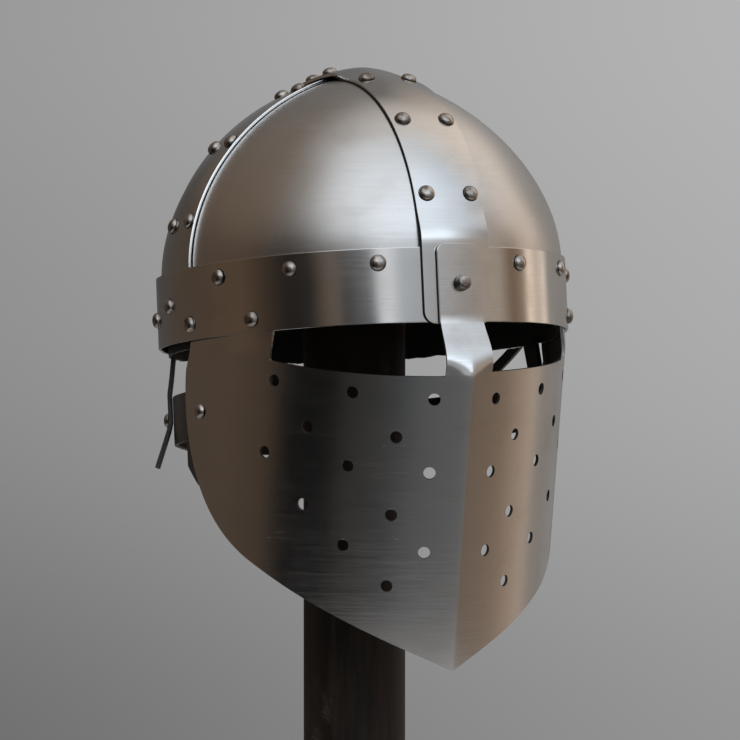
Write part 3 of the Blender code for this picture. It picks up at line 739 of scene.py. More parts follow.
@dataclass
class Workshop:
    """Turns grids of points into finished pieces in the row's frame."""

    pose: HelmetPose
    weld: float = 2e-6
    edge_angle: float = math.radians(50)
    edge_steps: int = 2
    flat_weight: int = 100

    def sheet(
        self,
        name: str,
        patches: Iterable[Rows],
        thickness: float,
        materials: Sequence[Material],
        closed: bool = False,
        inside: Triple = (0.0, 0.0, 0.0),
        bevel: float = 0.0003,
        cutter: bpy.types.Object | None = None,
    ) -> bpy.types.Object:
        """Thicken grids of points into one sheet.

        Args:
            name: the piece's name.
            patches: grids of points on the outer face, in the helmet's frame.
            thickness: the sheet's thickness, inwards.
            materials: outer face, inner face and cut edge.
            closed: whether each grid's last row joins its first.
            inside: a point on the sheet's inner side.
            bevel: radius of the cut edges.
            cutter: a mesh that is cut out of the sheet.

        Returns:
            The finished piece.
        """
        mesh = bmesh.new()
        for rows in patches:
            self._patch(mesh, rows, closed)
        bmesh.ops.remove_doubles(mesh, verts=mesh.verts, dist=self.weld)
        bmesh.ops.recalc_face_normals(mesh, faces=mesh.faces)
        middle = Vector(inside)
        faces = [(face.calc_center_median() - middle, face.normal, face.calc_area()) for face in mesh.faces]
        if sum(away.dot(normal) * area for away, normal, area in faces) < 0:
            bmesh.ops.reverse_faces(mesh, faces=mesh.faces)
        piece = self._link(name, mesh, materials)
        solid = piece.modifiers.new("Thickness", "SOLIDIFY")
        solid.thickness = thickness
        solid.offset = -1.0
        solid.use_even_offset = True
        solid.material_offset = 1
        solid.material_offset_rim = 2
        if cutter is not None:
            holes = piece.modifiers.new("Holes", "BOOLEAN")
            holes.object = cutter
            holes.operation = "DIFFERENCE"
            holes.solver = "EXACT"
        rounding = piece.modifiers.new("Edges", "BEVEL")
        rounding.width = bevel
        rounding.segments = self.edge_steps
        rounding.limit_method = "ANGLE"
        rounding.angle_limit = self.edge_angle
        self.finish(piece)
        weighted = piece.modifiers.new("Flat faces", "WEIGHTED_NORMAL")
        weighted.keep_sharp = True
        weighted.weight = self.flat_weight
        return plain(piece)

    @staticmethod
    def _patch(mesh: bmesh.types.BMesh, rows: Rows, closed: bool) -> None:
        """Add one grid of quads.

        Args:
            mesh: the mesh that it goes into.
            rows: the grid's points.
            closed: whether the last row joins the first.
        """
        grid = [[mesh.verts.new(point) for point in row] for row in rows]
        pairs = list(zip(grid, grid[1:]))
        if closed:
            pairs.append((grid[-1], grid[0]))
        for row, following in pairs:
            for index in range(len(row) - 1):
                mesh.faces.new((row[index], following[index], following[index + 1], row[index + 1]))

    @staticmethod
    def _link(name: str, mesh: bmesh.types.BMesh, materials: Sequence[Material]) -> bpy.types.Object:
        """Put a mesh in the scene.

        Args:
            name: the object's name.
            mesh: its shape, which is freed.
            materials: its material slots.

        Returns:
            The object.
        """
        data = bpy.data.meshes.new(name)
        mesh.to_mesh(data)
        mesh.free()
        for material in materials:
            data.materials.append(material)
        return linked(name, data)

    def finish(self, piece: bpy.types.Object, placed: bool = False, crease: float = 32.0) -> bpy.types.Object:
        """Apply a piece's modifiers and put it in the row's frame.

        Args:
            piece: an object whose mesh is in the helmet's frame.
            placed: whether the mesh is in the row's frame already.
            crease: faces that meet at more than this many degrees keep a sharp edge.

        Returns:
            The same object with a plain mesh.
        """
        data = plain(piece).data
        if not placed:
            data.transform(self.pose.matrix())
        data.shade_smooth()
        data.set_sharp_from_angle(angle=math.radians(crease))
        return piece

    def turned(self, name: str, profile: Profile, sides: int, material: Material) -> bpy.types.Object:
        """Turn a profile of radius and height pairs about Z.

        Args:
            name: the piece's name.
            profile: from the foot on the axis round to the top on the axis.
            sides: how many sides the turning has.
            material: its finish.

        Returns:
            The turned piece, still where its profile is.
        """
        mesh = bmesh.new()
        verts = [mesh.verts.new((radius, 0.0, height)) for radius, height in profile]
        edges = [mesh.edges.new(pair) for pair in zip(verts, verts[1:])]
        bmesh.ops.spin(mesh, geom=verts + edges, cent=(0, 0, 0), axis=(0, 0, 1), angle=math.tau, steps=sides)
        bmesh.ops.remove_doubles(mesh, verts=mesh.verts, dist=self.weld / 2)
        bmesh.ops.recalc_face_normals(mesh, faces=mesh.faces)
        return self._link(name, mesh, [material])


@dataclass
class Scatter:
    """Sets copies of a template on seats, with Geometry Nodes."""

    tilt: float = math.radians(2.0)
    size_swing: float = 0.03
    seats: list[tuple[Vector, Vector]] = field(default_factory=list)

    def add(self, seat: Vector, normal: Vector) -> None:
        """Add one seat and the direction that its copy faces."""
        self.seats.append((seat, normal))

    def build(self, name: str, template: bpy.types.Object, material: Material) -> bpy.types.Object:
        """Set the template on every seat and join the copies.

        Args:
            name: the piece's name.
            template: the shape to repeat, which stands on its own origin along Z; it is removed.
            material: the copies' finish.

        Returns:
            One plain mesh in the helmet's frame.
        """
        data = bpy.data.meshes.new(name)
        data.from_pydata([tuple(seat) for seat, _ in self.seats], [], [])
        facing = data.attributes.new("facing", "FLOAT_VECTOR", "POINT")
        normals = np.array([tuple(normal) for _, normal in self.seats], float)
        facing.data.foreach_set("vector", normals.ravel())
        piece = linked(name, data)
        tree = self._tree(name)
        modifier = piece.modifiers.new("Scatter", "NODES")
        modifier.node_group = tree
        sizes = {"Tilt": self.tilt, "Size swing": self.size_swing, "Seed": SEED}
        values = {"Template": template, "Finish": material, **sizes}
        for item in tree.interface.items_tree:
            if item.item_type == "SOCKET" and item.in_out == "INPUT" and item.name in values:
                modifier[item.identifier] = values[item.name]
        plain(piece)
        bpy.data.objects.remove(template)
        return piece

    @staticmethod
    def _tree(name: str) -> bpy.types.NodeTree:
        """Build the Geometry Nodes tree, with its sizes as named inputs.

        Args:
            name: the name of the piece that it makes.

        Returns:
            The tree.
        """
        tree = bpy.data.node_groups.new(f"{name} scatter", "GeometryNodeTree")
        tree.interface.new_socket("Geometry", in_out="OUTPUT", socket_type="NodeSocketGeometry")
        inlets = {
            "Geometry": "Geometry",
            "Template": "Object",
            "Tilt": "Float",
            "Size swing": "Float",
            "Seed": "Int",
            "Finish": "Material",
        }
        for label, kind in inlets.items():
            tree.interface.new_socket(label, in_out="INPUT", socket_type=f"NodeSocket{kind}")
        graph = Graph(tree)
        given = graph.node("NodeGroupInput").socket.node.outputs
        inlet = {label: Signal(graph, given[label]) for label in inlets}
        seed = {"Seed": inlet["Seed"]}

        def tilt_limit(sign: float) -> Signal:
            """The random tilt's limit about each axis, on one side."""
            inputs = {0: (sign, sign, sign), 3: inlet["Tilt"]}
            return graph.node("ShaderNodeVectorMath", {"operation": "SCALE"}, inputs)

        shape = graph.node("GeometryNodeObjectInfo", {}, {"Object": inlet["Template"]}, output="Geometry")
        vectors = {"data_type": "FLOAT_VECTOR"}
        facing = graph.node("GeometryNodeInputNamedAttribute", vectors, {"Name": "facing"})
        upright = graph.node("FunctionNodeAlignRotationToVector", {"axis": "Z"}, {"Vector": facing})
        limits = {0: tilt_limit(-1.0), 1: tilt_limit(1.0), **seed}
        wobble = graph.node("FunctionNodeRandomValue", vectors, limits)
        local = {"rotation_space": "LOCAL"}
        turned = graph.node("FunctionNodeRotateRotation", local, {0: upright, 1: wobble})
        sizes = {2: 1.0 - inlet["Size swing"], 3: 1.0 + inlet["Size swing"], **seed}
        size = graph.node("FunctionNodeRandomValue", {"data_type": "FLOAT"}, sizes, output=1)
        inputs = {"Points": inlet["Geometry"], "Instance": shape, "Rotation": turned, "Scale": size}
        copies = graph.node("GeometryNodeInstanceOnPoints", {}, inputs)
        real = graph.node("GeometryNodeRealizeInstances", {}, {0: copies})
        dressed = graph.node("GeometryNodeSetMaterial", {}, {"Geometry": real, "Material": inlet["Finish"]})
        graph.end("NodeGroupOutput", dressed)
        return tree


def dress(piece: bpy.types.Object, slot: Slot, *nodes: str) -> None:
    """Ride a piece on the object's body and hide the CAD nodes that it stands for.

    Args:
        piece: the finished piece.
        slot: the slot that its look belongs to; not used.
        nodes: the CAD nodes that it stands for.
    """
    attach(piece, "root")
    if nodes:
        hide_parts(*nodes)
    shown = ", ".join(nodes[:4]) or "no node"
    LOG.info("%s: %d faces, stands for %s", piece.name, len(piece.data.polygons), shown)


# Sub-assemblies


@dataclass
class SubAssembly:
    """What every sub-assembly is made with."""

    form: SkullForm
    workshop: Workshop
    finishes: Finishes


@dataclass
class SkullPlates(SubAssembly):
    """Four quarter plates, which meet under the bands."""

    seam: float = 0.0006
    foot: float = 0.016
    steps_round: int = 40
    steps_up: int = 44
    steps_below: int = 4

    def build(self) -> None:
        """Make and dress the four plates."""
        materials = self.finishes.steel(self.finishes.skull)
        for end_name, end in (("front", -1), ("back", 1)):
            for side in (Side.LEFT, Side.RIGHT):
                name = f"{end_name}_{side.name.lower()}"
                rows = self._rows(side, end)
                piece = self.workshop.sheet(f"skull_sheet_{name}", [rows], SHEET, materials)
                dress(piece, Slot.SKULL, f"skull_plate_{name}")

    def _rows(self, side: Side, end: int) -> Rows:
        """Grid of one quarter.

        Args:
            side: the wearer's side.
            end: -1 for the front and 1 for the back.

        Returns:
            Rows of points from the foot up.
        """
        form = self.form
        turn = math.acos(form.crown_opening)
        below = self.steps_below
        heights = [self.foot + (form.brow - self.foot) * k / below for k in range(below)]
        heights += [form.crown(math.sin(turn * k / self.steps_up)) for k in range(self.steps_up + 1)]
        rows = []
        for height in heights:
            half_width, half_length, shift = form.section(height, 0.0)
            first = math.asin((self.seam / 2 / half_length) ** (form.power / 2))
            last = math.acos((self.seam / 2 / half_width) ** (form.power / 2))
            row = []
            for k in range(self.steps_round + 1):
                point = form.wall(first + (last - first) * k / self.steps_round, height, 0.0)
                row.append(Vector((side.value * point.x, shift + end * (point.y - shift), height)))
            rows.append(row)
        return rows


@dataclass
class Bands(SubAssembly):
    """The side band, the front and back band, and the brow band."""

    width: float = 0.0364
    corner: float = 0.006
    skull_foot: float = 0.016
    front_foot: float = -0.001
    step: float = 0.0032
    blend: float = 0.010
    flank: float = math.radians(14)
    ease: float = math.radians(13)
    crossing_lap: float = SHEET + 3 * SEAT_GAP
    filed: float = 0.00035
    brow_filed: float = 0.0004
    brow_steps: int = 300
    corner_steps: int = 8
    # Sizes of the dark sheets that paint a shadow line along the bands' edges
    shadow_line_reach: float = 0.00038
    shadow_line_foot: float = 0.00005
    shadow_line_top: float = 0.00026
    shadow_line_round: float = 0.00002
    brow_rows: int = 4
    shares: tuple[float, ...] = tuple(-1.0 + 0.2 * k for k in range(11))

    def build(self) -> None:
        """Make and dress the three bands."""
        half = self.width / 2
        side_rows = self._side_rows(self.skull_foot, half, LAP)
        self._band("side_band_sheet", side_rows, self.filed, False, "side_band")
        self._band("front_back_band_sheet", self._front_rows(half, 0.0), self.filed, False, "front_back_band")
        brow_rows = []
        for k in range(self.brow_steps):
            angle = math.tau * k / self.brow_steps
            foot = self.form.wall(angle, 0.0, self.brow_stand_off(angle))
            heights = [self.form.brow * row / self.brow_rows for row in range(self.brow_rows + 1)]
            brow_rows.append([foot + Vector((0, 0, height)) for height in heights])
        self._band("brow_band_sheet", brow_rows, self.brow_filed, True, "brow_band")
        self._seam_dirt()

    def _band(self, name: str, rows: Rows, filed: float, closed: bool, node: str) -> None:
        """Make and dress one band.

        Args:
            name: the piece's name.
            rows: points of its outer face.
            filed: radius of its edges.
            closed: whether it is a ring.
            node: the CAD node that it stands for.
        """
        materials = self.finishes.steel(self.finishes.band)
        piece = self.workshop.sheet(name, [rows], SHEET, materials, closed=closed, bevel=filed)
        dress(piece, Slot.BAND, node)

    def _side_rows(self, foot: float, half: float, stand_off: float) -> Rows:
        """The side band from foot to foot over the crown.

        Args:
            foot: height of both its ends.
            half: half of its width.
            stand_off: how far its face lies outside the skull's.

        Returns:
            Rows of points across the band.
        """
        across = Vector((0, 1, 0))
        centres = self._arch(True, foot, foot)
        return [self.row(centre, across, self.shares, half, stand_off) for centre in centres]

    def _front_rows(self, half: float, lift: float) -> Rows:
        """The front and back band from its rounded front foot over the crown to the back.

        Args:
            half: half of its width.
            lift: how far its face lies above the steel's own face.

        Returns:
            Rows of points across the band.
        """
        across = Vector((1, 0, 0))
        spread = half - self.width / 2
        corner = self.corner + spread
        centres = self._arch(False, self.front_foot + self.corner, self.skull_foot)
        rows = []
        for k in range(self.corner_steps):
            turn = math.pi / 2 * k / self.corner_steps
            foot = centres[0].copy()
            foot.z = self.front_foot - spread + corner * (1 - math.cos(turn))
            narrow = half - corner * (1 - math.sin(turn))
            rows.append(self.row(foot, across, self.shares, narrow, 2 * LAP + lift))
        for centre in centres:
            rows.append(self.row(centre, across, self.shares, half, self.front_stand_off(centre) + lift))
        return rows

    def _seam_dirt(self) -> None:
        """Dark sheets along the two bands' edges: a painted shadow line in the gap where they lie on what is
        under them.
        """
        reach = self.width / 2 + self.shadow_line_reach
        lines = {
            "side_band_dirt": self._side_rows(self.form.brow, reach, self.shadow_line_top),
            "front_back_band_dirt": self._front_rows(reach, self.shadow_line_top - LAP),
        }
        materials = (self.finishes.painted_shade_and_dirt,) * 3
        thickness = self.shadow_line_top - self.shadow_line_foot
        for name, rows in lines.items():
            dress(self.workshop.sheet(name, [rows], thickness, materials, bevel=self.shadow_line_round), Slot.BAND)

    def row(
        self, centre: Vector, width_axis: Vector, shares: Iterable[float], half_width: float, stand_off: float
    ) -> list[Vector]:
        """One row of points across a band, on the skull's surface.

        Args:
            centre: the row's middle on the skull's face.
            width_axis: the direction across the band.
            shares: places across it, from -1 to 1.
            half_width: half of its width there.
            stand_off: how far its face lies outside the skull's.

        Returns:
            The row's points.
        """
        base = Vector((0.0, 0.0, min(centre.z, self.form.brow)))
        if width_axis.y:
            base.y = centre.y
        direction = (centre - base).normalized()
        starts = [base + width_axis * (share * half_width) for share in shares]
        return [self.form.hit(start, direction, stand_off) for start in starts]

    def brow_stand_off(self, angle: float) -> float:
        """How far the brow band steps out over the band ends that it covers.

        Args:
            angle: place round the skull.

        Returns:
            The stand-off of its outer face.
        """
        covered = 0.0
        for centre in (0.0, math.pi / 2, math.pi):
            away = abs(math.remainder(angle - centre, math.tau))
            covered = max(covered, 1.0 - smoothstep(away, self.flank, self.flank + self.ease))
        return LAP * (1.0 + covered)

    def front_stand_off(self, point: Vector) -> float:
        """How far the front band stands off, over the brow band and, at the crown, over the side band.

        Args:
            point: place on the skull's face, on the band's middle.

        Returns:
            The stand-off of its outer face.
        """
        brow = self.form.brow
        over_brow = 0.0
        if point.y < 0:
            over_brow = 1.0 - smoothstep(point.z, brow + self.blend / 2, brow + 2 * self.blend)
        away = abs(point.y - self.form.crown_shift)
        near_crown = 1.0 if point.z > brow + self.width else 0.0
        clear = self.width / 2 + self.blend
        over_side = near_crown * (1.0 - smoothstep(away, clear, clear + 2 * self.blend))
        return LAP + max(over_brow * LAP, over_side * self.crossing_lap)

    def _arch(self, across_width: bool, foot_start: float, foot_end: float) -> list[Vector]:
        """Centre points of a band's arch, from foot to foot over the crown.

        Args:
            across_width: whether it runs from side to side, not from front to back.
            foot_start: height of its first foot.
            foot_end: height of its last foot.

        Returns:
            Points on the skull's face.
        """
        form = self.form
        reach = form.width / 2 if across_width else form.length / 2
        steps = math.ceil(math.pi / 2 * (form.height - form.brow + reach) / 2 / self.step)

        def side_point(height: float, sign: int) -> Vector:
            """Centre of the band on one side.

            Args:
                height: its height.
                sign: which side.

            Returns:
                The point on the skull's face.
            """
            half_width, half_length, shift = form.section(height, 0.0)
            across = (sign * half_width, shift, height)
            return Vector(across if across_width else (0.0, shift + sign * half_length, height))

        def wall(foot: float) -> list[float]:
            """Heights below the brow band's top."""
            count = math.ceil((form.brow - foot) / (2 * self.step))
            return [foot + (form.brow - foot) * k / count for k in range(count)]

        dome = [form.crown(math.sin(math.pi / 2 * k / steps)) for k in range(steps)]
        rising = [side_point(height, -1) for height in wall(foot_start) + dome]
        falling = [side_point(height, 1) for height in wall(foot_end) + dome]
        return rising + [Vector((0.0, form.crown_shift, form.height))] + falling[::-1]


@dataclass
class FacePlate(SubAssembly):
    """The keeled plate with its breath holes, nasal strip and side lobes."""

    lean: float = math.radians(15.3)
    half_width: float = 0.1035
    reach: float = 0.138
    side_front: float = 0.0126
    chin: float = 0.1415
    edge_rise: float = 0.38
    cheek: float = 0.093
    slot_keel: float = -0.0086
    slot_end: float = -0.0055
    slot_bow: float = 0.0014
    slot_skew: float = 0.0016
    slot_half: float = 0.1065
    lobe_top: float = 0.014
    conform: float = 0.016
    conform_side: float = 0.0095
    liner_drop: float = 0.0032
    column_step: float = 0.0026
    cheek_step: float = 0.8
    rows_down: int = 40
    lobe_rows: int = 12
    nasal_width: float = 0.0233
    nasal_foot: float = 0.0274
    nasal_top: float = 0.0385
    nasal_corner: float = 0.004
    nasal_stand_off: float = 3 * LAP + 0.0012
    nasal_shares: tuple[float, ...] = (0.0, 0.06, 0.12, 0.22, 0.4, 0.6, 0.8, 1.0)
    foot_bend: float = 1.1
    foot_rise: float = 0.001
    foot_steps: int = 14
    foot_flatness: int = 5
    body_steps: int = 10
    hole: float = 0.0061
    hole_sides: int = 28
    hole_probe: float = 0.002
    keel_radius: float = 0.0012
    keel_fade: float = 0.04
    inside: Triple = (0.0, 0.0, -0.06)
    section_steps: int = 400
    section_reach: int = 45
    section_spread: float = 15.0
    section_side: tuple[float, ...] = (0.0, 0.162, 0.315, 0.503, 0.663, 0.783, 0.860, 0.937, 0.985, 1.0)
    section_forward: tuple[float, ...] = (1.0, 0.949, 0.895, 0.801, 0.688, 0.558, 0.449, 0.304, 0.159, 0.080)
    # Share of the chin's depth, then places as shares of the eye slot's half width
    hole_rows: tuple[tuple[float, tuple[float, ...]], ...] = (
        (0.030, (0.171, 0.555, 0.965)),
        (0.173, (0.335, 0.768)),
        (0.292, (0.171, 0.555, 0.998)),
        (0.452, (0.335, 0.768)),
        (0.578, (0.171, 0.555)),
        (0.708, (0.335,)),
    )

    def __post_init__(self) -> None:
        """Sample the plate's half section."""
        side = np.array(self.section_side) * self.half_width
        forward = np.array(self.section_forward) * self.reach
        forward[-1] = self.side_front
        along = self._distances(side, forward)
        fine = np.linspace(0.0, along[-1], self.section_steps)
        self._side = self._eased(self._hermite(along, side, fine))
        self._forward = self._eased(self._hermite(along, forward, fine))
        self._round = self._distances(self._side, self._forward)
        self.half_span = float(self._round[-1])

    @staticmethod
    def _distances(side: np.ndarray, forward: np.ndarray) -> np.ndarray:
        """Distances along a line through points."""
        return np.concatenate([[0.0], np.cumsum(np.hypot(np.diff(side), np.diff(forward)))])

    @staticmethod
    def _hermite(along: np.ndarray, values: np.ndarray, fine: np.ndarray) -> np.ndarray:
        """Smooth curve through values at given distances.

        Args:
            along: the distances of the values.
            values: what the curve passes through.
            fine: the distances that are asked for.

        Returns:
            The curve's values there.
        """
        slopes = np.gradient(values, along)
        index = np.clip(np.searchsorted(along, fine, side="right") - 1, 0, len(along) - 2)
        span = along[index + 1] - along[index]
        t = (fine - along[index]) / span
        return (
            (2 * t**3 - 3 * t**2 + 1) * values[index]
            + (t**3 - 2 * t**2 + t) * span * slopes[index]
            + (-2 * t**3 + 3 * t**2) * values[index + 1]
            + (t**3 - t**2) * span * slopes[index + 1]
        )

    def _eased(self, values: np.ndarray) -> np.ndarray:
        """Even out the curve's bend, so that reflections run across it without a break.

        Args:
            values: one coordinate of the finely sampled section.

        Returns:
            The evened coordinate.
        """
        reach = self.section_reach
        weights = np.exp(-0.5 * (np.arange(-reach, reach + 1) / self.section_spread) ** 2)
        padded = np.pad(values, reach, mode="reflect", reflect_type="odd")
        return np.convolve(padded, weights / weights.sum(), mode="valid")

    def point(self, around: float, down: float) -> Vector:
        """Outer face of the plate; above the brow edge it follows the skull plates.

        Args:
            around: distance round the sheet from the keel, positive on the wearer's left.
            down: distance down the sheet.

        Returns:
            The point in the helmet's frame.
        """
        rounding = self.keel_radius * (1.0 - smoothstep(abs(around), 0.0, self.keel_fade))
        soft = math.hypot(around, self.keel_radius) - rounding
        side = math.copysign(float(np.interp(abs(around), self._round, self._side)), around)
        forward = float(np.interp(soft, self._round, self._forward))
        sin_lean, cos_lean = math.sin(self.lean), math.cos(self.lean)
        point = Vector((side, down * sin_lean - forward * cos_lean, -down * cos_lean - forward * sin_lean))
        if abs(around) > self.slot_half - self.conform_side:
            share = smoothstep(point.z, -self.conform, -self.liner_drop)
            shrink = self.form.measure(Vector((point.x, point.y, 0.0)), 0.0) ** (1 / self.form.power)
            scale = 1.0 + share * (1.0 / shrink - 1.0)
            point.x *= scale
            point.y *= scale
        return point

    def side_at(self, y: float, z: float) -> float:
        """How far out the plate's outer face is at a place in the side view."""
        forward = -y * math.cos(self.lean) - z * math.sin(self.lean)
        return float(np.interp(-forward, -self._forward, self._side))

    def _lobe_drop(self, around: float, height: float) -> float:
        """How far down the sheet a height of the helmet lies."""
        forward = float(np.interp(abs(around), self._round, self._forward))
        return -(height + forward * math.sin(self.lean)) / math.cos(self.lean)

    def _slot_drop(self, around: float) -> float:
        """Eye slot's lower edge, which bows on one side and is skewed by the keel on the other.

        Args:
            around: distance round the sheet from the keel.

        Returns:
            Distance down the sheet.
        """
        share = min(abs(around) / self.slot_half, 1.0)
        drop = self.slot_keel + (self.slot_end - self.slot_keel) * share
        if around < 0:
            return drop + 4 * self.slot_bow * share * (1 - share)
        return drop - self.slot_skew * min(2 * around / self.nasal_foot, 1.0) * (1 - share)

    def _cheek_arc(self) -> Triple:
        """The rounded cheek corner.

        Returns:
            Its centre's place round and down the sheet, and the lower edge's tilt.
        """
        tilt = math.atan(self.edge_rise)
        centre = self.half_span - self.cheek
        return centre, self.chin - self.edge_rise * centre - self.cheek / math.cos(tilt), tilt

    def _lower_edge(self, around: float) -> float:
        """Lower edge: straight from the chin, then an arc up to the rear edge.

        Args:
            around: distance round the sheet from the keel.

        Returns:
            Distance down the sheet.
        """
        centre, centre_down, tilt = self._cheek_arc()
        away = abs(around)
        if away < centre + self.cheek * math.sin(tilt):
            return self.chin - self.edge_rise * away
        return centre_down + math.sqrt(max(self.cheek**2 - (away - centre) ** 2, 0.0))

    def _columns(self) -> list[float]:
        """Places of the columns round the sheet, on one side of the keel.

        Returns:
            Distances from the keel, from 0 to the rear edge.
        """
        centre = self._cheek_arc()[0]
        nasal = self.nasal_foot / 2
        columns = [nasal * share for share in self.nasal_shares]
        count = round((self.slot_half - nasal) / self.column_step)
        columns += [nasal + (self.slot_half - nasal) * (k + 1) / count for k in range(count)]
        start = math.asin((self.slot_half - centre) / self.cheek)
        count = round((self.half_span - self.slot_half) / (self.column_step * self.cheek_step))
        turns = [start + (math.pi / 2 - start) * (k + 1) / count for k in range(count)]
        return columns + [centre + self.cheek * math.sin(turn) for turn in turns]

    def _strip_row(self, shares: Iterable[float], height: float, half_width: float) -> list[Vector]:
        """One level row of the nasal strip's upper part.

        Args:
            shares: places across it, from -1 to 1.
            height: the row's height.
            half_width: half of the strip's width there.

        Returns:
            The row's points.
        """
        half_wide, half_long, shift = self.form.section(height, self.nasal_stand_off)
        power = self.form.power
        row = []
        for share in shares:
            across = share * half_width
            depth = half_long * (1 - (abs(across) / half_wide) ** power) ** (1 / power)
            row.append(Vector((across, shift - depth, height)))
        return row

    def _nasal(self, columns: Sequence[float]) -> Rows:
        """The nasal strip, from the eye slot's edge up over the front band.

        Args:
            columns: the plate's columns that it grows from.

        Returns:
            Rows of points from its foot up.
        """
        shares = [column / (self.nasal_foot / 2) for column in columns]
        half = self.nasal_width / 2
        foot = [self.point(column, self._slot_drop(column)) for column in columns]
        higher = [self.point(column, self._slot_drop(column) - self.foot_rise) for column in columns]
        level = sum(low.y for low in foot) / len(foot)
        rows = [foot]
        for k in range(1, self.foot_steps):
            share = k / self.foot_steps
            early = share * (1 - share) ** 2
            keel = (1 - share) ** self.foot_flatness
            row = []
            for low, above, high in zip(foot, higher, self._strip_row(shares, 0.0, half)):
                start = Vector((low.x, level + (low.y - level) * keel, low.z))
                span = high - start
                ahead = (above - low).normalized() * span.length * self.foot_bend - span
                row.append(start + span * share + ahead * early)
            rows.append(row)
        straight = self.nasal_top - self.nasal_corner
        for k in range(self.body_steps + 1):
            rows.append(self._strip_row(shares, straight * k / self.body_steps, half))
        for turn in range(12, 90, 12):
            angle = math.radians(turn)
            height = self.nasal_top - self.nasal_corner * (1 - math.sin(angle))
            rows.append(self._strip_row(shares, height, half - self.nasal_corner * (1 - math.cos(angle))))
        return rows

    def _cutter(self) -> bpy.types.Object:
        """Pins at the breath holes, square to the plate.

        Returns:
            All pins as one mesh.
        """
        pins = Scatter(tilt=math.radians(0.6), size_swing=0.02)
        step = self.hole_probe
        for share_down, places in self.hole_rows:
            down = share_down * self.chin
            for place in places:
                for side in Side:
                    around = side.value * place * self.slot_half
                    along = self.point(around + step, down) - self.point(around - step, down)
                    fall = self.point(around, down + step) - self.point(around, down - step)
                    pins.add(self.point(around, down), along.cross(fall).normalized())
        long, radius = 4 * SHEET, self.hole / 2
        profile = [(0.0, -long), (radius, -long), (radius, long), (0.0, long)]
        template = self.workshop.turned("pin_template", profile, self.hole_sides, self.finishes.raw_shaded)
        return pins.build("breath_hole_pins", template, self.finishes.raw_shaded)

    def _rows_between(self, column: float, start: float, end: float, count: int) -> list[Vector]:
        """Points of a column, from one distance down the sheet to another."""
        return [self.point(column, start + (end - start) * k / count) for k in range(count + 1)]

    def build(self) -> None:
        """Make and dress the plate."""
        half = self._columns()
        columns = [-column for column in half[:0:-1]] + half
        body = [
            self._rows_between(column, self._lower_edge(column), self._slot_drop(column), self.rows_down)
            for column in columns
        ]
        patches = [body]
        for side in Side:
            lobe = []
            for column in (side.value * value for value in half if value >= self.slot_half - TINY):
                top = self._lobe_drop(column, self.lobe_top)
                lobe.append(self._rows_between(column, self._slot_drop(column), top, self.lobe_rows))
            patches.append(lobe)
        strip = [column for column in columns if abs(column) <= self.nasal_foot / 2 + TINY]
        patches.append(self._nasal(strip))
        cutter = self._cutter()
        materials = self.finishes.steel(self.finishes.plate)
        piece = self.workshop.sheet(
            "face_plate_sheet", patches, SHEET, materials, inside=self.inside, cutter=cutter
        )
        bpy.data.objects.remove(cutter)
        dress(piece, Slot.PLATE, "face_plate")


